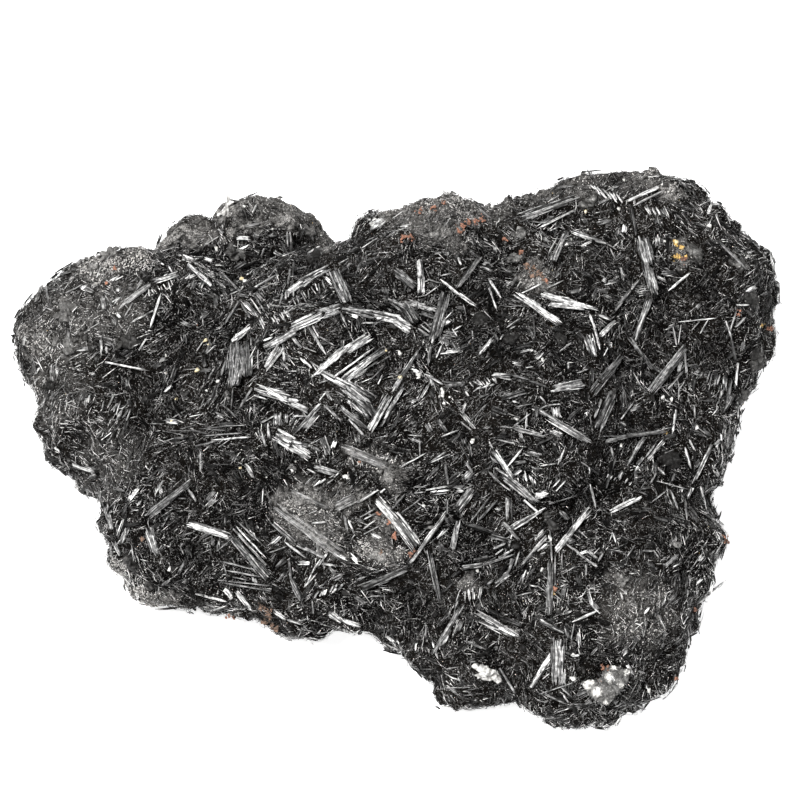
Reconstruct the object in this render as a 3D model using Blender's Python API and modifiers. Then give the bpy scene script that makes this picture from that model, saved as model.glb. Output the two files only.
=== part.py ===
"""Manganese oxide specimen: a knobbly black lump of grown-together needles, set with bladed crystals.

Metres, +Z up. The lump rests on a flat broken base in the plane z = 0, and the origin is the middle of
its bounding box there. +X runs to the right along the show face, and -Y is the front.
Run it with: blender --background --python part.py
"""

import math
import random
from typing import NamedTuple

import bmesh
import bpy
from mathutils import Matrix, Vector
from mathutils.bvhtree import BVHTree

MM = 0.001
NODE_NAME = "manganese_oxide_specimen"

# Driving dimensions of the lump
VOXEL = 1.1 * MM                              # grid on which the knobs are melted into one skin
BLEND_PASSES = 10                             # smoothing that rounds the creases between knobs
SWELL_HEIGHT, SWELL_SIZE = 3.4 * MM, 10 * MM  # broad swells of the skin
PIT_HEIGHT, PIT_SIZE = 1.7 * MM, 4 * MM       # pits and nodules between the needles
LUMP_TRIANGLES = 4400
BASE_LEVEL = 1.5 * MM                         # the flat broken base is cut this far above the knobs' zero
BLANK_SIZE = 200 * MM                         # side of the block that breaks the base off flat

# Driving dimensions of the bladed crystals
SHOW_FACE_LEAN = math.radians(60)             # the show face looks this far above the horizon
SHOW_FACE_RISE = 16 * MM                      # its middle lies this far up the face from the knobs' zero
BLADE_SIDES = 6                               # a flattened six-sided prism
BLADE_TAPER = 0.5                             # width at the tip over width at the foot
BLADE_THICKNESS = 0.7                        # thickness over width
LEAST_THICKNESS = 1.1 * MM
BLADE_PROUD = 0.12                            # share of the thickness by which a blade's axis clears the skin
SCATTERED_BLADES = 56
SCATTERED_LENGTHS = (5 * MM, 8 * MM)
SCATTERED_WIDTHS = (1.3 * MM, 2.2 * MM)
SCATTER_SPACING = 6 * MM                      # least distance between two scattered blades
SCATTER_FLOOR = 6 * MM                        # none below this height, so the base stays flat
SCATTER_TILT = math.radians(8)                # how far a scattered blade may rear up from the skin
RANDOM_SEED = 7


class Knob(NamedTuple):
    """A rounded growth: its centre, and its radii along X, Y and Z, in millimetres."""

    name: str
    centre: tuple
    radii: tuple


class Blade(NamedTuple):
    """A large crystal on the show face: its two ends, in millimetres right and up from the face's middle."""

    foot: tuple
    tip: tuple
    width: float


KNOBS = (
    Knob("heart", (4, 3, 20), (42, 28, 21)),
    Knob("heart front", (15, -12, 16), (23, 19, 14)),
    Knob("left crown", (-42.5, 16.8, 17), (13.2, 13, 13)),
    Knob("left shoulder", (-34, 16.6, 20), (13, 13, 12.5)),
    Knob("left flank", (-40.5, 6.5, 15), (12.5, 12.5, 12)),
    Knob("left saddle", (-28, 5.5, 16.5), (12, 12, 11)),
    Knob("back left", (-19.6, 33, 13), (10.6, 10.2, 10.4)),
    Knob("back left spur", (-28, 33.5, 13), (7.2, 7, 6.5)),
    Knob("upper middle", (4.8, 20, 29.5), (13, 13, 12.8)),
    Knob("upper notch", (-0.8, 24.4, 27.5), (8.7, 8.4, 8.2)),
    Knob("upper saddle", (15, 23, 28), (11.5, 11, 11)),
    Knob("upper slope left", (7, 13, 29), (13, 12, 11)),
    Knob("upper slope right", (24, 14, 28), (15, 13, 12)),
    Knob("right summit", (35, 26.8, 25.6), (12.4, 12.2, 12)),
    Knob("right summit edge", (41.8, 28.2, 24.4), (10.4, 10.4, 10.4)),
    Knob("right summit left", (26.5, 28.6, 25.6), (11.2, 11, 10.8)),
    Knob("right crown", (44.2, 24, 22), (11.4, 11.5, 11.5)),
    Knob("right crown front", (43.8, 17, 22), (11.4, 11.5, 11.5)),
    Knob("right flank", (38.9, 5.3, 20), (11.3, 11.3, 11.3)),
    Knob("right waist", (36.2, -3, 18), (11, 11, 11)),
    Knob("centre left", (-10.4, 1.6, 30.4), (15, 14.5, 14.2)),
    Knob("centre right", (18, -3, 31), (15.5, 15, 15)),
    Knob("apron left", (-16, -7, 19), (14, 12, 12)),
    Knob("apron middle", (3, -10, 21), (14, 13, 13)),
    Knob("apron right", (18, -14, 21.5), (13, 13, 12)),
    Knob("front left", (-30, -9.5, 14), (13, 13, 13)),
    Knob("front left lip", (-21.3, -15, 14), (11.2, 10.8, 10.8)),
    Knob("front notch", (-11, -16.6, 14), (11.4, 11, 11)),
    Knob("front middle", (-1.5, -16.5, 14), (10.9, 10.9, 11)),
    Knob("front nose", (11.5, -28.8, 12), (9.6, 9.8, 9.8)),
    Knob("front right", (27.2, -28, 17), (15, 15, 15)),
    Knob("front right crown", (33.6, -18, 17), (13, 13, 13)),
    Knob("back right foot", (30, 24, 12), (15, 13, 12)),
    Knob("back middle foot", (5, 24, 13), (16, 13, 13)),
)

BLADES = (
    # the fans on the centre left knob
    Blade((-23, 8.7), (-23, 1.3), 2.6),
    Blade((-19.6, 6.8), (-14, 10.9), 1.9),
    Blade((-14.2, 10.6), (-8.2, 13.2), 1.6),
    Blade((-8, 12.9), (1.7, 10), 1.3),
    Blade((-19.1, 3.6), (-15.5, 7.4), 1.6),
    Blade((-12.3, 2.8), (-3.2, 8.7), 1.4),
    Blade((-9, 2.7), (-2.6, 7.3), 1.8),
    Blade((-20.7, 1.4), (-14.4, -0.8), 1.6),
    Blade((-11, 3.6), (-3.5, -2.9), 1.8),
    Blade((-10.4, 0.6), (-4, -5.1), 2.2),
    Blade((-15.1, -5.4), (-10.4, -0.9), 1.8),
    Blade((-4, -4.9), (0.4, 1.2), 1.5),
    Blade((-0.1, 0.7), (3.2, 6.8), 1.1),
    Blade((-17.7, -4.8), (-12.8, -8.6), 2),
    # the centre right knob
    Blade((12.3, 3), (18.9, 2.8), 1.3),
    Blade((18.9, 2.8), (22.1, 1.4), 1.2),
    Blade((22.1, 1), (27.3, 2.3), 1.4),
    Blade((19.7, -1.6), (28.1, -6.7), 1.5),
    Blade((14.1, -7.7), (20.6, -16.7), 1.4),
    Blade((16.5, -18.7), (21.3, -16.2), 1.1),
    # the upper middle and the right summit
    Blade((17.5, 25.8), (26.5, 28.9), 1.6),
    Blade((35.5, 23.5), (37.4, 14.5), 1.9),
    Blade((36.7, 16.5), (34.9, 8.3), 1.3),
    Blade((21.2, 14.6), (28.9, 12.6), 1.2),
    Blade((17.4, 15.1), (23.8, 10.3), 1.1),
    Blade((3.5, 20.2), (3.6, 15.1), 1.2),
    Blade((5.1, 7.8), (7.1, 14.1), 1.3),
    Blade((27.7, 12.5), (29.6, 5.7), 1.4),
    Blade((36, 0.3), (41.9, 7.5), 1.3),
    Blade((-9.1, 18.1), (-7, 13.8), 1.3),
    # the front knobs
    Blade((23.2, -22.2), (28.1, -16.2), 1.1),
    Blade((22.2, -19.7), (22.3, -31.6), 1.1),
    Blade((11.3, -31), (17.8, -34.9), 1.2),
    Blade((-2.8, -14.9), (3, -22.6), 1.5),
    Blade((-5.7, -28.3), (0.6, -25.5), 1.3),
    Blade((22.2, -41.5), (24.4, -34.5), 1.8),
    Blade((-24.2, -20.6), (-18.7, -25.7), 2),
    Blade((-30.2, -18.6), (-24.1, -20.2), 1.3),
    Blade((-17.7, -16.1), (-7.7, -23.5), 1.6),
    Blade((-36.8, -17.5), (-29.4, -12), 1.3),
    # the left crown
    Blade((-31.8, 20.4), (-26.8, 16.4), 1.2),
    Blade((-40, 12.9), (-32, 17.8), 1.2),
    Blade((-41.6, -1.3), (-38, -5.7), 1.4),
)


def clear_scene():
    """Starts from an empty file."""
    for obj in list(bpy.data.objects):
        bpy.data.objects.remove(obj, do_unlink=True)


def new_collection(name):
    """A collection in the scene."""
    collection = bpy.data.collections.new(name)
    bpy.context.scene.collection.children.link(collection)
    return collection


def new_object(name, work, collection):
    """An object in the collection from a bmesh, which is used up."""
    mesh = bpy.data.meshes.new(name)
    work.to_mesh(mesh)
    work.free()
    obj = bpy.data.objects.new(name, mesh)
    collection.objects.link(obj)
    return obj


def make_helper(obj):
    """Keeps an object that only shapes the specimen out of it."""
    obj.hide_render = True
    obj.display_type = "WIRE"


def evaluated_mesh(obj):
    """The object's mesh as its modifiers leave it."""
    bpy.context.view_layer.update()
    graph = bpy.context.evaluated_depsgraph_get()
    return bpy.data.meshes.new_from_object(obj.evaluated_get(graph))


def balls_of_knobs():
    """All the knobs as overlapping balls, in one bmesh."""
    work = bmesh.new()
    for knob in KNOBS:
        centre = Matrix.Translation(Vector(knob.centre) * MM)
        radii = Matrix.Diagonal((*(radius * MM for radius in knob.radii), 1))
        bmesh.ops.create_icosphere(work, subdivisions=4, radius=1, matrix=centre @ radii)
    return work


def add_relief(obj, name, height, size):
    """Displaces the skin in and out by a cloudy pattern of that height and feature size."""
    pattern = bpy.data.textures.new(name, "CLOUDS")
    pattern.noise_scale = size
    pattern.noise_depth = 1
    relief = obj.modifiers.new(name, "DISPLACE")
    relief.texture = pattern
    relief.texture_coords = "LOCAL"
    relief.strength = height
    relief.mid_level = 0.5


def grow_lump(collection):
    """The knobs melted into one rough closed skin of about LUMP_TRIANGLES triangles."""
    lump = new_object(NODE_NAME, balls_of_knobs(), collection)
    melt = lump.modifiers.new("melt", "REMESH")
    melt.mode = "VOXEL"
    melt.voxel_size = VOXEL
    blend = lump.modifiers.new("blend", "SMOOTH")
    blend.factor = 0.5
    blend.iterations = BLEND_PASSES
    add_relief(lump, "swells", SWELL_HEIGHT, SWELL_SIZE)
    add_relief(lump, "pits", PIT_HEIGHT, PIT_SIZE)
    fine = evaluated_mesh(lump)
    thin_out = lump.modifiers.new("thin out", "DECIMATE")
    thin_out.ratio = LUMP_TRIANGLES / sum(len(face.vertices) - 2 for face in fine.polygons)
    lump.data = evaluated_mesh(lump)
    lump.modifiers.clear()
    return lump


def skin_of(obj):
    """A search tree of an object's faces."""
    work = bmesh.new()
    work.from_mesh(obj.data)
    tree = BVHTree.FromBMesh(work)
    work.free()
    return tree


def spot_on_show_face(skin, right, up):
    """Where the skin lies under a spot of the show face, in millimetres from its middle, and its normal."""
    look = Vector((0, -math.cos(SHOW_FACE_LEAN), math.sin(SHOW_FACE_LEAN)))
    climb = Vector((0, math.sin(SHOW_FACE_LEAN), math.cos(SHOW_FACE_LEAN)))
    above = Vector((right * MM, 0, 0)) + climb * (up * MM + SHOW_FACE_RISE) + look * BLANK_SIZE
    place, normal, _, _ = skin.ray_cast(above, -look)
    return place, normal


def add_blade(name, collection, middle, along, normal, length, width):
    """One crystal: a flattened six-sided prism that narrows to its tip, its axis just proud of the skin."""
    thickness = max(LEAST_THICKNESS, BLADE_THICKNESS * width)
    side = normal.cross(along).normalized()
    out = along.cross(side).normalized()
    turn = Matrix((side, out, along.normalized())).transposed().to_4x4()
    place = Matrix.Translation(middle + out * thickness * BLADE_PROUD)
    work = bmesh.new()
    bmesh.ops.create_cone(
        work,
        cap_ends=True,
        segments=BLADE_SIDES,
        radius1=0.5,
        radius2=0.5 * BLADE_TAPER,
        depth=1,
        matrix=place @ turn @ Matrix.Diagonal((width, thickness, length, 1)),
    )
    make_helper(new_object(name, work, collection))


def lay_show_blades(skin, collection):
    """The large crystals of the show face, each across the skin between its two ends."""
    for number, blade in enumerate(BLADES, start=1):
        foot, _ = spot_on_show_face(skin, *blade.foot)
        tip, _ = spot_on_show_face(skin, *blade.tip)
        halfway = (Vector(blade.foot) + Vector(blade.tip)) / 2
        crest, normal = spot_on_show_face(skin, *halfway)
        middle = (foot + tip) / 2
        middle += normal * max(0, (crest - middle).dot(normal))
        name = f"show blade {number}"
        add_blade(name, collection, middle, tip - foot, normal, (tip - foot).length, blade.width * MM)


def scatter_blades(lump, collection):
    """Smaller crystals strewn over the rest of the lump, each lying on the skin or rearing up from it."""
    dice = random.Random(RANDOM_SEED)
    faces = [face for face in lump.data.polygons if face.center.z > SCATTER_FLOOR]
    dice.shuffle(faces)
    taken = []
    for face in faces:
        place = face.center
        if len(taken) == SCATTERED_BLADES:
            break
        if any((place - other).length < SCATTER_SPACING for other in taken):
            continue
        taken.append(place.copy())
        normal = face.normal
        around = Matrix.Rotation(dice.uniform(0, math.tau), 3, normal)
        along = around @ normal.orthogonal().normalized()
        along += normal * math.tan(dice.uniform(0, SCATTER_TILT))
        length = dice.uniform(*SCATTERED_LENGTHS)
        width = dice.uniform(*SCATTERED_WIDTHS)
        name = f"scattered blade {len(taken)}"
        add_blade(name, collection, place, along, normal, length, width)


def fuse_blades(lump, blades):
    """Joins every crystal to the lump in one solid."""
    fuse = lump.modifiers.new("fuse blades", "BOOLEAN")
    fuse.operation = "UNION"
    fuse.operand_type = "COLLECTION"
    fuse.collection = blades
    fuse.solver = "EXACT"


def break_base_flat(lump, helpers):
    """Cuts the underside off level, as the face the specimen rests on."""
    work = bmesh.new()
    middle = Vector((0, 0, BASE_LEVEL - BLANK_SIZE / 2))
    bmesh.ops.create_cube(work, size=BLANK_SIZE, matrix=Matrix.Translation(middle))
    block = new_object("base cut", work, helpers)
    make_helper(block)
    cut = lump.modifiers.new("break base", "BOOLEAN")
    cut.operation = "DIFFERENCE"
    cut.object = block
    cut.solver = "EXACT"


def stand_on_origin(lump):
    """Moves the specimen so that the middle of its bounding box's underside is the origin."""
    lump.data = evaluated_mesh(lump)
    lump.modifiers.clear()
    corners = [vertex.co for vertex in lump.data.vertices]
    low = Vector(min(corner[axis] for corner in corners) for axis in range(3))
    high = Vector(max(corner[axis] for corner in corners) for axis in range(3))
    middle = (low + high) / 2
    lump.data.transform(Matrix.Translation((-middle.x, -middle.y, -low.z)))


def black_metallic_finish():
    """Near-black with the dull metallic lustre of manganese oxide needles."""
    material = bpy.data.materials.new("manganese oxide")
    material.use_nodes = True
    shader = material.node_tree.nodes["Principled BSDF"]
    shader.inputs["Base Color"].default_value = (0.05, 0.05, 0.052, 1)
    shader.inputs["Metallic"].default_value = 0.6
    shader.inputs["Roughness"].default_value = 0.45
    return material


def main():
    """Grows the lump, sets its crystals, breaks its base flat and stands it on the origin."""
    clear_scene()
    specimen = new_collection("manganese oxide")
    helpers = new_collection("helpers")
    blades = new_collection("blades")
    lump = grow_lump(specimen)
    lay_show_blades(skin_of(lump), blades)
    scatter_blades(lump, blades)
    fuse_blades(lump, blades)
    break_base_flat(lump, helpers)
    stand_on_origin(lump)
    lump.data.materials.clear()
    lump.data.materials.append(black_metallic_finish())


if __name__ == "__main__":
    main()
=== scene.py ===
"""Dresses the manganese oxide specimen: a black felt of needles set with striated silvery blades.

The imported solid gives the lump's shape and place. A finer groundmass replaces it, and the needles, the
blades and the mineral grains are laid on that groundmass. Metres, +Z up, in the frame of the part.
"""

import logging
import math
from dataclasses import dataclass, field
from enum import Enum
from typing import Iterator, NamedTuple, Optional, Sequence

import bmesh
import bpy
import numpy as np
from mathutils import Matrix, Vector, noise
from mathutils.bvhtree import BVHTree
from mathutils.kdtree import KDTree


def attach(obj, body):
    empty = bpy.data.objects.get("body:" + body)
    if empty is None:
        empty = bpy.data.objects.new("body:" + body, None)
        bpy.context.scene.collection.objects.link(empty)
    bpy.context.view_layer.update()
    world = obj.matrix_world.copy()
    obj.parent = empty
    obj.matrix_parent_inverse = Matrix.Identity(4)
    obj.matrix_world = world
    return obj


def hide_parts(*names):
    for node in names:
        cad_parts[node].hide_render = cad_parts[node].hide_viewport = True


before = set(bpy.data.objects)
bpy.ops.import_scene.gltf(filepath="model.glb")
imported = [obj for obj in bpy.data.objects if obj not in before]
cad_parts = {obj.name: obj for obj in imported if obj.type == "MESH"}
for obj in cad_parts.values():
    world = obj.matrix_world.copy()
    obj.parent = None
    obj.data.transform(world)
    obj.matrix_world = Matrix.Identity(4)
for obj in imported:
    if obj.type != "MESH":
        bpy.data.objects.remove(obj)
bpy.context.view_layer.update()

MM = 0.001
NODE = "manganese_oxide_specimen"
BODY = "root"
RANDOM_SEED = 11
FLOOR_GAP = 0.05 * MM
HIDDEN_FACING = -0.35
LOG = logging.getLogger("specimen")

Colour = tuple[float, float, float]
Size = tuple[float, ...]
Array = np.ndarray
Dice = np.random.Generator
Material = bpy.types.Material
Piece = bpy.types.Object
Socket = bpy.types.NodeSocket
# A place on the surface and its normal, or None past the outline.
Hit = Optional[tuple[Array, Array]]


def mm(*sizes: float) -> Size:
    """Sizes in millimetres, turned to metres."""
    return tuple(size * MM for size in sizes)


class Slot(Enum):
    """The record's material slots."""

    FELT = "manganese_oxide"
    BLADES = "bladed_crystals"
    GRAINS = "mineral_grains"


class PaintedGlintTone(Enum):
    """How bright a blade's broad face is painted: part its own silvery grey, part a painted glint where its
    face throws the light back.
    """

    BRIGHT = 0.7
    LIGHT = 0.31
    GREY = 0.15
    DARK = 0.05


class Ground(Enum):
    """Where a layer lies: on open ground, on the dusty patches or on the sides that are turned away."""

    OPEN = 0
    DUST = 1
    HIDDEN = 2


class Habit(Enum):
    """How a crystal is shaped: its sides, its widths at shares of its length, the tip's slant, the bend."""

    NEEDLE = (3, ((0, 1.0), (1, 0)), 0.0, 0.0)
    CRUMB = (3, ((0, 1.1), (1, 0.7)), 0.3, 0.0)
    CURVED = (3, ((0, 0.6), (0.5, 1.0), (1, 0)), 0.0, 1.5)
    BLUNT = (4, ((0, 0.7), (0.05, 1.2), (0.94, 1.2), (1, 0.8)), 0.05, 0.0)
    SPLIT = (4, ((0, 0.9), (0.5, 1.25), (0.8, 1.0), (1, 0.2)), -0.05, 0.0)
    LEAF = (4, ((0, 0.25), (0.2, 1.2), (0.8, 1.1), (1, 0.1)), 0.0, 0.0)
    SPEAR = (4, ((0, 0.9), (0.78, 1.1), (1, 0)), 0.0, 0.0)
    SHARD = (4, ((0, 1.1), (0.55, 1.25), (1, 0.7)), 0.14, 0.0)

    def __init__(self, sides: int, widths: Sequence[Size], slant: float, bend: float) -> None:
        """Names the parts of a habit.

        Args:
            sides: how many sides it has.
            widths: its widths, each after the share of its length at which it is measured.
            slant: how far the tip is cut off askew, over its length.
            bend: how far its middle stands aside, in widths.
        """
        self.sides = sides
        self.stations, self.widths = zip(*widths)
        self.slant = slant
        self.bend = bend


class Lath(NamedTuple):
    """A large blade by its two ends and its width in the picture, in pixels, and how it widens on the way."""

    x0: float
    y0: float
    x1: float
    y1: float
    width: float
    flare: float = -0.35
    tone: PaintedGlintTone = PaintedGlintTone.DARK


class Row(NamedTuple):
    """Short laths side by side: where the first and the last begin, their number, length, lean and width.

    Places, lengths and widths are in pixels, and the lean is in degrees from the picture's right.
    """

    x0: float
    y0: float
    x1: float
    y1: float
    number: int
    length: float
    lean: float
    width: float
    tone: PaintedGlintTone

    def laths(self, dice: Dice) -> Iterator[Lath]:
        """The row's laths, one after another.

        Args:
            dice: makes no two of them alike.

        Yields:
            Each lath.
        """
        for share in np.linspace(0, 1, self.number):
            x = self.x0 + (self.x1 - self.x0) * share + dice.normal(0, 0.8)
            y = self.y0 + (self.y1 - self.y0) * share + dice.normal(0, 0.8)
            lean = math.radians(self.lean + dice.normal(0, 9))
            reach = self.length * dice.uniform(0.65, 1.15)
            tip = (x + reach * math.cos(lean), y - reach * math.sin(lean))
            yield Lath(x, y, *tip, self.width * dice.uniform(0.7, 1.2), tone=self.tone)


class Comb(NamedTuple):
    """A patch in which the needles lie side by side: middle and radius in pixels, direction in degrees."""

    x: float
    y: float
    radius: float
    direction: float
    gain: float = 1.0


class Dust(NamedTuple):
    """A dusty patch: middle and radius in pixels, how grey it is, and what share of its needles it hides.

    Its crumbs are the share of the hidden needles' ground that is strewn with crumbs of dust. A few patches
    on the upper lobe paint a highlight and shade there instead of dust.
    """

    x: float
    y: float
    radius: float
    grey: float
    smooth: float
    crumbs: float = 1.0


class Nudge(NamedTuple):
    """A part of the outline that stands further out or in: middle, radius and shift in pixels."""

    x: float
    y: float
    radius: float
    right: float
    up: float


class Plate(NamedTuple):
    """A smooth chip: middle, length and width in pixels, its direction in degrees, and its tone."""

    x: float
    y: float
    length: float
    width: float
    direction: float
    tone: float

    def strip(self) -> Lath:
        """The strip of the picture that the chip covers.

        Returns:
            A blade in the chip's place.
        """
        half = max(self.length - self.width, 1) / 2
        run = (half * math.cos(math.radians(self.direction)), -half * math.sin(math.radians(self.direction)))
        ends = (self.x - run[0], self.y - run[1], self.x + run[0], self.y + run[1])
        return Lath(*ends, self.width * 0.7)


class Spot(NamedTuple):
    """A place in the picture, in pixels, and a size: a radius in pixels, or how rich a cluster is."""

    x: float
    y: float
    size: float


class Shade(NamedTuple):
    """A patch of painted light or shade, whose needles are painted lighter or darker: middle and radius in
    pixels, and how many times.
    """

    x: float
    y: float
    radius: float
    gain: float


def table(kind: type, rows: Sequence[tuple]) -> tuple:
    """The rows of a table, each as an entry of one kind."""
    return tuple(kind(*row) for row in rows)


def toned(tone: PaintedGlintTone, rows: Sequence[tuple]) -> tuple:
    """Large blades of one tone, a row each."""
    return tuple(blade._replace(tone=tone) for blade in table(Lath, rows))


# The blades' tones are painted brightness: their own silvery grey, with a painted glint on the brighter ones.
BRIGHT_BLADES = toned(PaintedGlintTone.BRIGHT, (
    (290, 330, 324, 315, 6, 0.1), (291, 324, 316, 312, 3, 0.1), (315, 312, 341, 306, 4, 0.1),
    (263, 341, 273, 337, 2), (372, 314, 400, 320, 8, 0.3), (392, 317, 411, 330, 9, 0.1),
    (362, 323, 377, 323, 2), (307, 324, 326, 355, 3), (312, 324, 319, 338, 2),
    (282, 345, 264, 371, 10, -0.6), (314, 376, 346, 347, 6, 0.2), (344, 352, 372, 335, 8, 0.2),
    (334, 377, 375, 347, 3), (342, 381, 372, 357, 8, -0.2), (350, 376, 366, 371, 6),
    (378, 384, 383, 374, 2.5), (230, 344, 252, 326, 5, 0.3), (236, 337, 246, 332, 5),
    (252, 353, 251, 376, 3), (254, 388, 291, 398, 9, 0.1), (262, 388, 289, 402, 6), (254, 395, 268, 400, 2),
    (289, 399, 299, 401, 3), (321, 372, 350, 388, 4, 0.8), (346, 399, 370, 419, 4), (319, 404, 306, 419, 2),
    (369, 432, 390, 394, 8, -0.2), (275, 433, 293, 444, 12, 0.1), (288, 443, 311, 457, 10, -0.2),
    (268, 423, 268, 438, 2), (310, 378, 321, 371, 2), (333, 378, 345, 369, 3), (242, 300, 259, 317, 5),
    (286, 293, 304, 281, 6, 0.3), (306, 281, 324, 271, 4), (211, 440, 251, 437, 2), (268, 425, 270, 438, 2),
    (307, 469, 315, 473, 2.5), (322, 437, 329, 455, 7), (498, 377, 512, 380, 2), (551, 391, 584, 388, 2),
    (512, 401, 519, 403, 2.5), (545, 419, 582, 441, 2), (519, 432, 524, 442, 4, -0.8),
    (489, 441, 493, 449, 1.5), (494, 450, 514, 480, 5), (523, 448, 507, 467, 2), (521, 469, 513, 475, 4),
    (524, 500, 540, 514, 3), (510, 529, 530, 517, 7, -0.3), (524, 521, 546, 508, 4, -0.7),
    (535, 496, 549, 493, 7), (540, 466, 557, 463, 2), (426, 490, 449, 486, 2), (430, 492, 450, 490, 2),
    (553, 487, 560, 479, 2), (556, 491, 566, 480, 2), (548, 543, 538, 551, 3), (465, 391, 469, 396, 2),
    (493, 338, 479, 355, 4), (472, 330, 473, 339, 1.5), (503, 335, 500, 340, 2), (434, 331, 432, 343, 3),
    (442, 345, 436, 358, 2.5), (419, 259, 421, 280, 5, 0.2), (421, 276, 421, 294, 7, -0.1),
    (440, 279, 462, 297, 3, 0.4), (458, 293, 479, 308, 4, -0.6), (458, 257, 461, 265, 3),
    (450, 332, 463, 325, 2), (515, 293, 540, 309, 6, 0.1), (534, 306, 561, 325, 6, -0.1),
    (520, 294, 543, 283, 2), (541, 294, 574, 303, 5, 0.3), (547, 304, 584, 308, 4, 0.1),
    (565, 300, 599, 310, 5, -0.6), (537, 229, 575, 210, 3), (421, 325, 432, 334, 2), (488, 278, 501, 298, 3),
    (489, 288, 497, 311, 2.5), (625, 202, 660, 187, 3.5), (645, 205, 651, 215, 4, -0.5),
    (652, 207, 656, 216, 2.5), (656, 207, 660, 215, 2.5), (570, 231, 607, 244, 4, -0.1),
    (691, 272, 668, 291, 3), (736, 305, 750, 305, 2), (723, 390, 720, 398, 2.5), (738, 363, 735, 390, 3),
    (738, 402, 738, 420, 2), (589, 313, 595, 328, 3, 0.2), (594, 326, 600, 350, 3), (599, 337, 615, 321, 5),
    (530, 350, 537, 352, 2.5), (370, 228, 386, 219, 9), (235, 525, 267, 559, 2, 0),
    (187, 523, 231, 537, 6, 0.2), (285, 542, 306, 558, 2.5), (325, 547, 348, 560, 5),
    (311, 523, 326, 522, 3), (296, 563, 310, 563, 4), (235, 590, 252, 611, 5), (225, 588, 233, 598, 6),
    (273, 611, 287, 620, 4), (194, 593, 228, 602, 3), (375, 497, 397, 521, 8, 0.3),
    (392, 514, 418, 549, 12, 0.1), (378, 490, 357, 503, 3, -0.1), (385, 489, 380, 493, 2.5),
    (348, 519, 354, 533, 2.5), (447, 512, 409, 565, 4), (495, 555, 503, 549, 2), (432, 640, 438, 659, 3),
    (73, 464, 97, 472, 8), (329, 612, 343, 622, 8), (340, 620, 361, 626, 6), (555, 552, 574, 529, 5, 0.4),
    (567, 537, 591, 508, 5, 0.1), (550, 532, 552, 565, 2), (577, 529, 587, 538, 1.5),
    (612, 532, 616, 543, 2), (678, 564, 673, 567, 2), (620, 592, 623, 600, 2), (650, 607, 644, 614, 3),
    (560, 587, 568, 584, 2), (572, 622, 599, 610, 3), (553, 653, 531, 687, 6), (476, 611, 519, 636, 5),
    (480, 620, 516, 637, 6), (610, 512, 632, 501, 4, 0.4), (622, 506, 642, 497, 5, -0.2),
    (676, 410, 672, 435, 3), (689, 439, 695, 451, 3), (685, 447, 691, 469, 3), (693, 487, 687, 499, 4),
    (590, 484, 596, 509, 2.5), (657, 467, 665, 475, 2.5), (641, 492, 648, 496, 2), (638, 466, 635, 471, 2.5),
    (697, 604, 726, 580, 3, -0.5), (638, 671, 645, 673, 2), (571, 656, 580, 655, 2), (563, 695, 568, 702, 2),
    (105, 362, 150, 371, 3, 0.2), (161, 293, 150, 328, 3), (153, 311, 130, 323, 3), (176, 255, 212, 287, 5),
    (168, 265, 173, 274, 2), (147, 337, 139, 350, 2), (153, 282, 179, 274, 6), (101, 267, 96, 279, 2),
    (80, 290, 89, 285, 4), (161, 263, 164, 265, 2), (91, 272, 90, 276, 3), (83, 288, 94, 292, 4),
    (321, 246, 305, 255, 2.5), (235, 238, 251, 238, 4),
))

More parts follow.
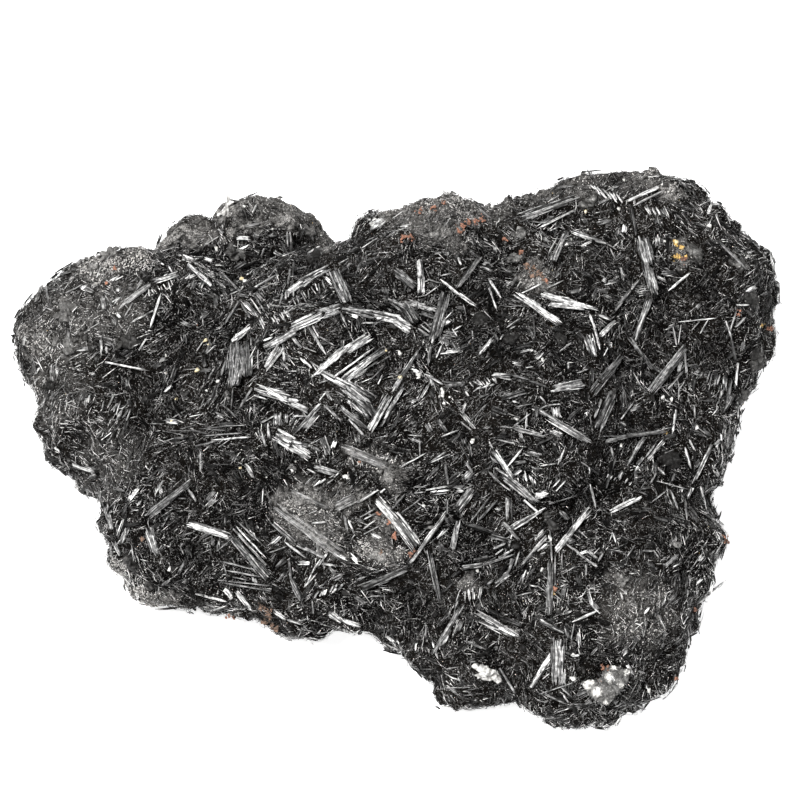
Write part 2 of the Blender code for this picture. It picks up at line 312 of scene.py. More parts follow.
LIGHT_BLADES = toned(PaintedGlintTone.LIGHT, (
    (263, 349, 300, 329, 7, 0.1), (322, 317, 341, 310, 6, 0.1), (342, 309, 375, 315, 7, 0.2),
    (320, 337, 335, 346, 1.5), (360, 366, 386, 348, 6, 0.1), (364, 371, 379, 360, 2),
    (367, 384, 385, 365, 1.5), (239, 341, 234, 389, 20, -0.7), (226, 361, 221, 376, 3),
    (251, 338, 252, 350, 2.5), (258, 348, 258, 369, 2), (288, 402, 310, 411, 5, 0.1),
    (342, 383, 372, 405, 13, 0.5), (352, 388, 374, 418, 9, 0.4), (338, 405, 368, 430, 5),
    (349, 419, 366, 438, 3), (325, 404, 342, 422, 4), (326, 392, 319, 401, 2), (326, 392, 332, 401, 3),
    (322, 404, 293, 434, 4), (317, 412, 303, 430, 9), (384, 419, 405, 384, 4), (392, 392, 420, 349, 5, -0.6),
    (277, 412, 278, 426, 9), (286, 414, 286, 423, 5), (260, 423, 274, 416, 2), (319, 383, 329, 380, 2),
    (250, 298, 263, 316, 2), (255, 296, 266, 314, 2), (300, 284, 331, 267, 8, -0.2),
    (222, 273, 244, 296, 3, 0.2), (248, 292, 276, 275, 3), (333, 269, 347, 303, 10, 0.1),
    (196, 446, 219, 440, 2), (200, 436, 242, 433, 2), (222, 426, 249, 425, 1.5), (172, 418, 185, 411, 1.5),
    (150, 424, 166, 423, 1.5), (245, 463, 254, 479, 4), (313, 467, 338, 474, 7), (492, 374, 513, 376, 4),
    (552, 389, 584, 382, 7, 0.1), (532, 407, 553, 418, 5), (546, 415, 591, 443, 5, 0.1),
    (540, 396, 546, 404, 2.5), (555, 407, 557, 419, 9), (540, 409, 548, 405, 1.5), (547, 405, 561, 404, 1.5),
    (512, 428, 531, 413, 2), (501, 426, 513, 428, 2), (512, 428, 545, 436, 4), (494, 439, 513, 443, 2),
    (461, 412, 475, 429, 3.5), (461, 422, 472, 431, 2.5), (437, 419, 448, 433, 4), (426, 423, 431, 432, 6),
    (441, 437, 461, 429, 2), (494, 467, 508, 476, 3), (502, 474, 528, 496, 8, -0.2), (514, 482, 538, 504, 7),
    (494, 478, 512, 492, 2), (557, 460, 562, 458, 2.5), (464, 480, 472, 471, 8), (466, 463, 473, 473, 3),
    (456, 511, 474, 487, 8, 0.1), (432, 495, 447, 493, 1.5), (414, 487, 425, 487, 1.5),
    (414, 493, 424, 492, 1.5), (430, 463, 450, 454, 2), (426, 453, 399, 468, 2), (420, 441, 420, 457, 2),
    (471, 521, 493, 493, 2), (508, 497, 507, 521, 4), (560, 510, 568, 521, 5), (614, 401, 599, 434, 3),
    (601, 400, 594, 419, 3), (634, 401, 621, 419, 2), (620, 422, 626, 426, 3), (547, 536, 522, 564, 4, -0.5),
    (430, 377, 444, 385, 3), (461, 411, 471, 421, 2.5), (407, 402, 421, 400, 1.5), (480, 342, 480, 353, 1.5),
    (445, 317, 439, 337, 3), (481, 255, 456, 289, 5, -0.1), (440, 276, 453, 273, 2), (460, 270, 467, 267, 2),
    (427, 279, 440, 283, 1.5), (470, 314, 482, 317, 2), (463, 304, 466, 315, 1.5), (484, 311, 494, 321, 1.5),
    (506, 328, 521, 318, 2), (508, 330, 516, 326, 1.5), (547, 288, 564, 280, 1.5),
    (518, 219, 579, 197, 9, -0.2), (553, 261, 567, 231, 6), (548, 255, 558, 236, 2),
    (407, 301, 436, 312, 6, -0.3), (390, 303, 401, 311, 2), (423, 321, 433, 330, 1.5),
    (417, 328, 431, 338, 3), (641, 235, 650, 268, 12, 0.1), (646, 262, 655, 296, 11, -0.1),
    (650, 297, 634, 342, 7), (633, 206, 665, 190, 2.5), (640, 279, 614, 311, 4), (606, 243, 617, 250, 1.5),
    (606, 244, 593, 260, 1.5), (610, 248, 616, 261, 2), (678, 322, 718, 318, 1.5), (708, 320, 700, 334, 1.5),
    (673, 327, 677, 347, 2), (681, 325, 678, 346, 1.5), (688, 344, 650, 393, 8, 0.1),
    (685, 353, 687, 380, 3), (684, 370, 668, 389, 3), (685, 380, 678, 391, 2), (746, 317, 735, 327, 3),
    (737, 308, 730, 331, 2), (726, 321, 732, 340, 3), (732, 396, 723, 413, 4), (694, 405, 695, 418, 2.5),
    (587, 334, 594, 358, 10), (558, 353, 572, 342, 2), (557, 376, 562, 372, 2), (577, 373, 588, 369, 2),
    (568, 362, 568, 369, 2), (235, 519, 266, 548, 2, 0), (233, 528, 266, 565, 3, 0), (257, 564, 270, 575, 2),
    (220, 561, 257, 570, 2, 0), (225, 570, 262, 577, 2, 0), (226, 575, 250, 581, 1.5, 0),
    (223, 563, 227, 576, 1.5), (218, 580, 273, 586, 2, 0), (272, 522, 296, 543, 4), (296, 544, 325, 558, 4),
    (268, 553, 287, 546, 1.5), (286, 619, 301, 624, 3), (312, 600, 313, 613, 2), (375, 509, 360, 517, 2),
    (376, 513, 363, 520, 2), (377, 519, 363, 529, 2), (381, 525, 364, 534, 1.5), (344, 515, 348, 532, 3),
    (423, 497, 399, 515, 2), (421, 507, 414, 513, 1.5), (452, 550, 459, 519, 6), (499, 558, 515, 548, 3),
    (493, 549, 506, 543, 3), (520, 550, 515, 566, 2), (510, 573, 494, 586, 5), (487, 585, 494, 579, 3),
    (516, 596, 532, 592, 2), (551, 560, 549, 616, 6, 0.1), (555, 553, 555, 585, 2),
    (562, 550, 562, 571, 1.5), (565, 543, 581, 555, 2), (570, 546, 591, 563, 3), (587, 549, 597, 559, 4),
    (590, 562, 598, 567, 3), (603, 553, 598, 562, 3), (586, 563, 586, 575, 2.5), (635, 545, 626, 558, 2),
    (643, 551, 654, 551, 2.5), (653, 550, 659, 558, 2.5), (678, 555, 664, 567, 4), (646, 621, 643, 638, 2),
    (575, 621, 571, 639, 2), (537, 619, 564, 633, 5), (558, 636, 557, 686, 14), (537, 695, 572, 683, 2),
    (544, 694, 566, 704, 2), (665, 439, 646, 462, 4), (656, 443, 645, 458, 2), (712, 445, 693, 484, 4),
    (611, 446, 613, 459, 2.5), (657, 471, 650, 484, 2), (670, 490, 678, 510, 3), (657, 481, 690, 490, 2),
    (667, 490, 651, 503, 1.5), (685, 498, 687, 521, 2), (591, 655, 598, 647, 3), (122, 305, 153, 282, 6),
    (136, 292, 118, 310, 3), (133, 302, 124, 318, 2), (42, 284, 36, 303, 4), (66, 293, 83, 284, 2),
    (102, 295, 105, 311, 5), (257, 204, 252, 214, 2.5), (287, 231, 288, 247, 2.5), (264, 248, 261, 258, 2),
    (148, 527, 157, 556, 9), (106, 505, 112, 530, 6), (113, 540, 121, 556, 4), (128, 528, 120, 545, 5),
))

GREY_BLADES = toned(PaintedGlintTone.GREY, (
    (375, 365, 391, 355, 1.5), (244, 344, 246, 378, 10, -0.2), (252, 388, 239, 409, 3, 0.2),
    (233, 388, 231, 410, 1.5), (221, 403, 237, 418, 2), (335, 391, 345, 397, 2), (380, 427, 386, 419, 3),
    (241, 303, 250, 318, 3), (268, 280, 276, 269, 3), (288, 284, 290, 268, 3), (512, 375, 530, 380, 3),
    (500, 399, 527, 391, 5), (478, 398, 490, 393, 2), (488, 471, 500, 483, 3), (460, 444, 472, 465, 2),
    (445, 463, 448, 484, 3), (429, 463, 447, 451, 2.5), (476, 523, 498, 499, 3), (511, 498, 512, 522, 2),
    (549, 504, 581, 494, 2), (604, 442, 630, 435, 4), (626, 436, 667, 431, 4, -0.2),
    (599, 436, 621, 436, 1.5), (596, 430, 612, 392, 9), (503, 521, 520, 541, 4), (489, 535, 510, 541, 5),
    (444, 385, 466, 384, 6), (446, 292, 433, 342, 9, 0.2), (431, 344, 428, 365, 3), (388, 299, 410, 309, 5),
    (419, 312, 438, 319, 4), (402, 303, 416, 324, 12, 0.1), (393, 269, 416, 288, 10),
    (717, 240, 747, 270, 3), (700, 321, 691, 331, 1.5), (725, 376, 724, 391, 5), (731, 378, 726, 407, 4),
    (628, 336, 654, 371, 4), (591, 393, 622, 357, 9), (533, 316, 535, 338, 2), (230, 534, 268, 579, 7, -0.2),
    (218, 582, 271, 591, 2, 0), (145, 518, 192, 481, 8), (275, 506, 345, 557, 9, 0.1),
    (289, 560, 291, 583, 3), (291, 579, 302, 600, 6), (289, 597, 289, 612, 1.5), (404, 495, 392, 509, 3),
    (339, 446, 392, 469, 9, -0.2), (333, 508, 358, 496, 9, 0.1), (358, 590, 408, 569, 8),
    (460, 568, 483, 564, 5), (480, 566, 515, 554, 2.5), (513, 558, 506, 577, 4), (429, 550, 441, 604, 6),
    (463, 604, 432, 655, 5), (288, 490, 329, 508, 5), (500, 668, 517, 696, 3), (644, 437, 627, 466, 4),
    (617, 452, 606, 488, 3), (580, 461, 598, 474, 2.5), (240, 300, 224, 325, 3), (46, 286, 49, 302, 3),
    (142, 280, 136, 290, 3), (243, 227, 262, 223, 3), (290, 232, 292, 255, 2.5),
))

DARK_BLADES = toned(PaintedGlintTone.DARK, (
    (292, 284, 294, 260, 3), (528, 380, 549, 388, 3), (536, 445, 554, 436, 3), (468, 524, 492, 533, 6),
    (490, 533, 512, 542, 5), (630, 203, 636, 236, 4), (731, 337, 736, 363, 3), (489, 611, 522, 626, 4),
))

B, L, G = PaintedGlintTone.BRIGHT, PaintedGlintTone.LIGHT, PaintedGlintTone.GREY

ROWS = table(Row, (
    (271, 316, 288, 310, 6, 10, -62, 2, B), (279, 304, 292, 296, 5, 9, 80, 2, L),
    (293, 297, 321, 280, 9, 12, -68, 1.8, L), (300, 358, 320, 366, 7, 9, -50, 2, B),
    (590, 185, 617, 194, 8, 11, -50, 2.2, B), (595, 190, 611, 195, 4, 10, -45, 2, B),
    (710, 372, 720, 374, 4, 16, -106, 2, L), (303, 588, 322, 560, 6, 22, 57, 2, B),
    (315, 598, 338, 590, 8, 9, 56, 2, B), (313, 486, 333, 478, 7, 8, 45, 2, B),
    (470, 382, 494, 377, 8, 8, -50, 1.8, B), (472, 390, 489, 386, 6, 7, 20, 1.8, B),
    (524, 471, 534, 478, 5, 8, -70, 2, B), (606, 477, 628, 485, 6, 5, 60, 2, B),
    (163, 430, 205, 428, 6, 26, 4, 1.5, G), (103, 408, 127, 420, 8, 14, 62, 2, L),
    (201, 406, 221, 401, 6, 8, 60, 1.5, G), (466, 600, 481, 600, 6, 12, 88, 2, B),
    (540, 553, 548, 541, 4, 6, 20, 2, L), (148, 290, 175, 278, 8, 8, -60, 1.8, B),
))

COMBS = table(Comb, (
    (252, 309, 16, -55, 1.6), (283, 318, 14, -58, 1.8), (300, 297, 14, 75, 1.8), (185, 433, 26, 3, 1.2),
    (235, 434, 24, 5, 1.2), (118, 420, 18, 60, 1.2), (606, 190, 18, 70, 1.6), (717, 387, 14, 55, 1.4),
    (316, 576, 18, 57, 1.8), (250, 545, 22, -45, 0.6), (490, 265, 20, -15, 1.2), (504, 275, 16, -10, 1.2),
))

DUST_WITH_PAINTED_LIGHT_AND_SHADE = table(Dust, (
    (243, 199, 9, 0.7, 0.95, 0.1), (262, 197, 9, 0.6, 0.95, 0.1), (280, 200, 10, 0.7, 0.95, 0.1),
    (297, 210, 12, 0.7, 0.95, 0.1), (313, 221, 13, 0.7, 0.95, 0.1), (325, 232, 10, 0.8, 0.95, 0.1),
    (334, 243, 8, 0.9, 1, 0.1), (260, 208, 14, 0.06, 0.95, 0), (238, 213, 8, 0.5, 0.95, 0.1),
    # The patch at (245, 236), with almost no grey, paints shade in a hollow of the upper lobe.
    (262, 217, 8, 0.4, 0.9, 0.1), (283, 215, 9, 0.5, 0.9, 0.1), (245, 236, 14, 0.02, 0.7, 0),
    (197, 241, 6, 0.9, 0.9, 0.1), (211, 238, 6, 0.8, 0.9, 0.1), (227, 232, 6, 0.9, 0.9, 0.1),
    (243, 227, 6, 0.9, 0.9, 0.1), (260, 225, 5, 0.8, 0.9, 0.1), (276, 223, 5, 0.8, 0.9, 0.1),
    (291, 222, 6, 0.9, 0.9, 0.1), (178, 228, 12, 0.6, 0.95, 0.1), (185, 229, 8, 1.1, 0.95, 0),
    (184, 239, 7, 1, 0.95, 0), (199, 227, 10, 0.45, 0.95, 0.1), (167, 240, 6, 1.2, 0.95, 0.1),
    # The two patches of grey 1.4 at (222, 211) and (230, 203) paint a highlight on the upper lobe.
    (222, 211, 7, 1.4, 1, 0), (230, 203, 7, 1.4, 1, 0), (110, 261, 14, 0.5, 0.7), (85, 266, 12, 0.8, 0.8),
    (137, 257, 13, 0.5, 0.7), (98, 272, 10, 0.7, 0.7), (398, 211, 15, 1.1, 0.8), (425, 207, 15, 1.1, 0.7),
    (452, 199, 13, 0.7, 0.9), (425, 224, 16, 0.6, 0.2), (440, 236, 8, 0.9, 0.7), (459, 246, 8, 0.8, 0.6),
    (450, 222, 14, 0.5, 0.3), (466, 214, 12, 0.6, 0.5), (495, 207, 16, 0.35, 0.7, 0.1),
    (540, 188, 18, 0.35, 0.8, 0.1), (584, 180, 22, 0.3, 0.8, 0.1), (640, 172, 20, 0.45, 0.6, 0.2),
    (672, 192, 10, 0.8, 0.8, 0.3), (685, 252, 12, 0.6, 0.5), (535, 277, 14, 0.9, 0.3),
    (348, 449, 8, 0.6, 0.8), (368, 458, 9, 0.7, 0.8), (387, 470, 12, 0.7, 0.8), (396, 482, 10, 0.6, 0.6),
    (346, 500, 12, 0.6, 0.6), (360, 494, 7, 0.7, 0.7), (310, 514, 28, 0.85, 0.55), (284, 506, 12, 0.9, 0.7),
    (331, 545, 14, 0.7, 0.4), (375, 549, 15, 0.85, 0.8), (390, 556, 11, 0.85, 0.7), (384, 520, 10, 0.7, 0.5),
    (467, 584, 9, 0.9, 0.8), (640, 612, 34, 0.28, 0.25), (619, 578, 9, 0.45, 0.8, 0.4),
    (116, 563, 7, 0.9, 0.8, 0.6), (124, 580, 8, 1, 0.8, 0.6), (137, 594, 9, 1, 0.8, 0.6),
    (155, 600, 8, 0.9, 0.8, 0.6), (172, 602, 7, 0.7, 0.6, 0.6), (65, 325, 38, 0.26, 0.22, 0.4),
    (52, 395, 30, 0.22, 0.16, 0.4), (112, 305, 34, 0.25, 0.2, 0.4), (112, 455, 30, 0.15, 0.1, 0.4),
    (98, 482, 22, 0.16, 0.1, 0.4), (38, 345, 14, 0.8, 0.4), (30, 330, 12, 0.5, 0.4),
))

PLATES = table(Plate, (
    (66, 312, 24, 18, 70, 0.05), (68, 350, 26, 14, 75, 0.07), (55, 342, 14, 9, 80, 0.03),
    (127, 341, 26, 16, 20, 0.025), (111, 255, 26, 10, 15, 0.07), (93, 268, 14, 9, 10, 0.12),
    (435, 235, 14, 10, 30, 0.06), (521, 235, 18, 14, 60, 0.07), (515, 259, 12, 20, 90, 0.07),
    (587, 203, 14, 18, 80, 0.06), (550, 521, 26, 12, -75, 0.035), (228, 394, 9, 11, 60, 0.05),
    (517, 419, 9, 6, 30, 0.12), (667, 459, 30, 18, -20, 0.012), (675, 546, 9, 14, 90, 0.07),
    (621, 579, 18, 10, -60, 0.1), (428, 525, 14, 8, 45, 0.16), (694, 252, 22, 14, -25, 0.05),
    (738, 264, 24, 12, -40, 0.05), (750, 300, 26, 16, -70, 0.02), (755, 360, 30, 18, 80, 0.022),
    (740, 395, 22, 14, 70, 0.03), (322, 258, 36, 17, 12, 0.008), (236, 254, 30, 15, -25, 0.04),
    (308, 234, 18, 12, -30, 0.05), (293, 468, 12, 8, -40, 0.1), (610, 395, 18, 9, 70, 0.04),
    (510, 340, 24, 14, 15, 0.012), (480, 320, 20, 14, 40, 0.01), (560, 340, 20, 12, -20, 0.012),
    (388, 474, 22, 12, -50, 0.07), (303, 500, 28, 12, -20, 0.06), (378, 556, 22, 12, 10, 0.06),
    (132, 561, 24, 15, -40, 0.008), (150, 583, 14, 9, -30, 0.012),
))

# Painted light and shade on the needles: most patches darken hollows and valleys or lighten tops and rims
# where the light falls; the one at (625, 638) only dims a stray bright bundle.
PAINTED_LIGHT_AND_SHADE = table(Shade, (
    (90, 390, 100, 1.2), (100, 295, 50, 1.2), (210, 262, 40, 1.2), (55, 320, 34, 1.3), (50, 370, 30, 1.5),
    (50, 420, 26, 1.3), (95, 305, 28, 1.4), (110, 335, 20, 1.4), (82, 342, 22, 1.4), (120, 272, 34, 1.5),
    (160, 262, 28, 1.3), (205, 250, 26, 1.8), (205, 287, 22, 1.6), (238, 255, 22, 1.5), (185, 335, 32, 0.75),
    (170, 380, 38, 0.75), (115, 442, 34, 1.4), (142, 485, 28, 1.6), (95, 485, 24, 1.4), (222, 485, 44, 0.8),
    (208, 560, 26, 0.8), (230, 603, 24, 1.5), (282, 562, 24, 0.9), (290, 365, 22, 1.5), (336, 345, 22, 0.7),
    (290, 430, 22, 1.3), (320, 455, 24, 1.4), (318, 520, 32, 1.5), (345, 548, 26, 1.5), (320, 577, 24, 1.3),
    (352, 610, 26, 1.4), (385, 485, 24, 1.3), (410, 545, 28, 1.3), (350, 250, 22, 1.3), (442, 240, 22, 1.2),
    (500, 248, 24, 1.3), (532, 240, 24, 1.6), (560, 252, 22, 1.3), (530, 276, 20, 1.5), (592, 275, 26, 0.6),
    (562, 340, 30, 0.65), (470, 310, 28, 0.6), (490, 362, 34, 0.5), (555, 368, 24, 0.7), (650, 432, 28, 0.5),
    (648, 366, 24, 0.65), (716, 335, 32, 0.45), (724, 288, 32, 0.6), (765, 300, 24, 0.5), (615, 340, 26, 0.8),
    (600, 405, 28, 0.8), (468, 425, 24, 0.7), (605, 430, 24, 0.6), (682, 300, 24, 0.75), (530, 485, 26, 1.4),
    (590, 512, 22, 1.5), (650, 515, 26, 0.55), (710, 460, 18, 1.3), (708, 575, 22, 1.4), (682, 602, 24, 1.3),
    (640, 612, 34, 1.2), (470, 606, 22, 1.5), (470, 635, 22, 1.2), (440, 665, 22, 0.7), (620, 635, 22, 1.6),
    (625, 638, 9, 0.4), (470, 545, 24, 0.7), (498, 590, 26, 0.8), (430, 610, 26, 0.7), (590, 660, 22, 0.7),
    (650, 695, 20, 1.2), (440, 695, 18, 1.5), (595, 714, 24, 1.1), (220, 215, 18, 0.8), (560, 215, 26, 1.15),
    (590, 225, 26, 1.1), (700, 215, 26, 1.2), (230, 245, 22, 1.3), (290, 245, 22, 1.25), (290, 365, 20, 1.3),
    (230, 335, 18, 1.15), (410, 545, 20, 1.15), (380, 575, 22, 1.15), (440, 545, 20, 1.2),
    (320, 605, 22, 1.25), (380, 605, 22, 1.25), (440, 635, 20, 1.15), (680, 635, 20, 1.1),
    (590, 545, 18, 1.15), (260, 455, 20, 1.2), (200, 455, 22, 1.2), (50, 455, 20, 1.3), (110, 335, 20, 1.15),
    (140, 575, 22, 1.25), (110, 515, 20, 1.2), (620, 515, 18, 1.3), (243, 230, 12, 0.3), (116, 566, 13, 2.2),
    (130, 588, 13, 2.2), (150, 602, 12, 2), (296, 260, 26, 0.5), (80, 395, 20, 0.8), (590, 665, 20, 0.75),
    (590, 695, 18, 0.8), (440, 665, 20, 0.85), (75, 400, 22, 1.2), (140, 425, 20, 1.2),
))

NUDGES = table(Nudge, (
    (394, 634, 24, 0, -19), (125, 262, 36, 0, 11), (668, 185, 28, 3, 9), (150, 594, 22, -2, -8),
    (710, 527, 20, 13, 0), (288, 628, 16, 0, -10), (22, 325, 16, -7, 0), (268, 202, 16, 0, 5),
    (104, 528, 14, -7, 0), (116, 563, 14, -7, -3), (738, 416, 14, 6, 0), (525, 198, 10, 0, 7),
    (25, 400, 46, 9, 0), (745, 225, 32, -7, -7), (240, 620, 28, 0, 11), (420, 686, 24, 9, 5),
    (712, 608, 24, -11, 0), (48, 275, 22, 6, -7), (492, 195, 22, 0, -8), (62, 480, 20, 6, 6),
    (430, 196, 20, 0, -8), (546, 186, 16, 0, -8), (345, 232, 14, 4, -9), (722, 567, 18, -7, 0),
    (213, 208, 10, 0, -12), (332, 638, 14, 0, 7), (36, 442, 18, 9, 3), (618, 716, 18, 0, 4),
    (652, 707, 14, 0, 2), (760, 380, 20, -7, 0), (717, 496, 15, -8, 0),
))

RUST_CLUSTERS = table(Spot, (
    (404, 240, 5), (410, 240, 4), (457, 232, 3), (461, 228, 4), (467, 225, 4), (474, 224, 4), (480, 222, 3),
    (419, 214, 3), (434, 211, 3), (446, 206, 2), (504, 242, 3), (549, 282, 3), (360, 462, 1), (396, 534, 6),
    (412, 550, 4), (388, 522, 2), (557, 589, 3), (600, 683, 3), (606, 665, 3), (692, 608, 4), (723, 540, 4),
    (690, 648, 3), (673, 678, 3), (229, 612, 3), (235, 615, 3), (108, 285, 2), (117, 270, 3), (767, 331, 3),
    (738, 314, 2), (684, 262, 3), (380, 512, 3), (520, 254, 2), (76, 510, 2),
))

SOIL_CLUSTERS = table(Spot, (
    (262, 606, 6), (268, 612, 8), (265, 620, 8), (273, 624, 6), (278, 627, 4), (527, 268, 4), (534, 271, 5),
    (540, 275, 4), (532, 278, 3), (545, 281, 3), (144, 538, 2), (381, 552, 2),
))

OCHRE_CLUSTERS = table(Spot, (
    (675, 244, 4), (681, 248, 4), (677, 257, 5), (684, 258, 3), (666, 431, 2), (743, 402, 3), (553, 595, 2),
    (760, 325, 2), (75, 508, 2),
))

PALE_GRAINS = table(Spot, (
    (444, 391, 4), (444, 397, 4), (446, 404, 3), (452, 397, 2), (417, 375, 4), (710, 227, 4), (344, 477, 4),
    (348, 476, 3), (293, 472, 3), (268, 477, 2), (296, 461, 2), (573, 678, 5), (649, 690, 4), (574, 655, 4),
    (241, 281, 3), (245, 284, 4), (335, 293, 3), (218, 250, 4), (169, 568, 4), (151, 540, 4), (225, 590, 4),
    (477, 667, 6), (486, 671, 8), (495, 676, 6), (662, 398, 4), (671, 401, 4), (695, 426, 4), (620, 444, 3),
    (168, 357, 3), (160, 361, 3), (168, 374, 3), (220, 382, 3), (207, 392, 2), (182, 436, 2), (399, 354, 4),
    (543, 361, 3), (544, 366, 2), (585, 213, 3), (588, 231, 2), (566, 247, 3), (570, 242, 3), (624, 182, 3),
    (620, 211, 3), (664, 243, 3), (424, 506, 3), (479, 569, 3), (544, 571, 4), (540, 582, 2), (493, 209, 3),
    (530, 573, 2), (585, 414, 3), (475, 438, 3), (474, 441, 3), (246, 207, 2.5), (319, 236, 2), (309, 234, 2),
    (274, 230, 2), (241, 238, 2.5),
))

CREAM_GRAINS = table(Spot, (
    (206, 343, 4), (209, 347, 3), (199, 371, 4), (178, 399, 3), (172, 421, 2.5), (242, 467, 2.5),
    (241, 375, 2.5), (401, 379, 4), (387, 351, 3), (242, 281, 4), (168, 374, 3), (675, 243, 4), (682, 248, 3),
    (585, 213, 3), (553, 594, 2.5),
))

PALE_PLATES = table(Plate, (
    (487, 672, 34, 13, -28, 1), (482, 668, 16, 10, -20, 1), (497, 678, 14, 8, -35, 1),
    (444, 394, 10, 5, 85, 1), (418, 376, 7, 5, 40, 1), (345, 476, 10, 4, 10, 1), (227, 209, 28, 7, 40, 1),
    (376, 224, 13, 7, 40, 1),
))

FRAGMENT_CORNERS = (
    (582, 683), (589, 694), (598, 700), (607, 705), (618, 692), (628, 679), (630, 670), (621, 670),
    (613, 665), (605, 668), (603, 677), (597, 681), (590, 681),
)

FRAGMENT_WHITES = table(Spot, (
    (588, 684, 7), (597, 692, 6), (609, 677, 5), (613, 667, 3.5), (627, 672, 3), (621, 686, 3), (605, 702, 3),
))


@dataclass(frozen=True)
class Eye:
    """The view of the show face: it looks down along +Y, with +X to the right of the picture."""

    elevation: float = math.radians(60)
    distance: float = 1.5
    picture: float = 794
    pixel: float = 0.145 * MM
    middle_up: float = 16 * MM
    middle_depth: float = 0.0
    sensor: float = 36.0

    @property
    def right(self) -> Array:
        """The picture's direction to the right."""
        return np.array([1.0, 0.0, 0.0])

    @property
    def up(self) -> Array:
        """The picture's direction upwards."""
        return np.array([0.0, math.sin(self.elevation), math.cos(self.elevation)])

    @property
    def toward(self) -> Array:
        """The direction from the specimen to the eye."""
        return np.array([0.0, -math.cos(self.elevation), math.sin(self.elevation)])

    @property
    def middle(self) -> Array:
        """The point that the picture's middle shows, at the specimen's middle depth."""
        return self.up * self.middle_up + self.toward * self.middle_depth

    @property
    def place(self) -> Array:
        """Where the eye is."""
        return self.middle + self.toward * self.distance

    def on_plane(self, x: float, y: float) -> Array:
        """The point of the middle plane that a pixel shows, counted from the picture's upper left."""
        half = self.picture / 2
        return self.middle + ((x - half) * self.right + (half - y) * self.up) * self.pixel

    def at_depth(self, x: float, y: float, depth: float) -> Array:
        """The point that a pixel shows at a distance from the origin towards the eye."""
        share = (self.distance + self.middle_depth - depth) / self.distance
        return self.place + (self.on_plane(x, y) - self.place) * share

    def depth(self, points: Array) -> Array:
        """How far points lie from the origin towards the eye."""
        return points @ self.toward

    def direction(self, degrees: float) -> Array:
        """The direction so many degrees round from the picture's right, in the picture's plane."""
        return self.right * math.cos(math.radians(degrees)) + self.up * math.sin(math.radians(degrees))

    def pixels(self, points: Array) -> Array:
        """Where points show in the picture.

        Args:
            points: places, one a row.

        Returns:
            Their x and y in pixels, in rows.
        """
        share = self.distance / (self.distance + self.middle_depth - self.depth(points))
        rise = points - self.middle
        half = self.picture / 2
        x = half + rise @ self.right * share / self.pixel
        y = half - rise @ self.up * share / self.pixel
        return np.stack([x, y], 1)

    def build(self) -> Piece:
        """Makes the scene's camera.

        Returns:
            The camera.
        """
        data = bpy.data.cameras.new("camera")
        data.sensor_width = self.sensor
        data.lens = self.sensor * self.distance / (self.picture * self.pixel)
        data.clip_start, data.clip_end = 0.1, 10
        camera = new_object("camera", data)
        camera.location = self.place
        camera.rotation_mode = "QUATERNION"
        camera.rotation_quaternion = Vector(-self.toward).to_track_quat("-Z", "Y")
        bpy.context.scene.camera = camera
        return camera


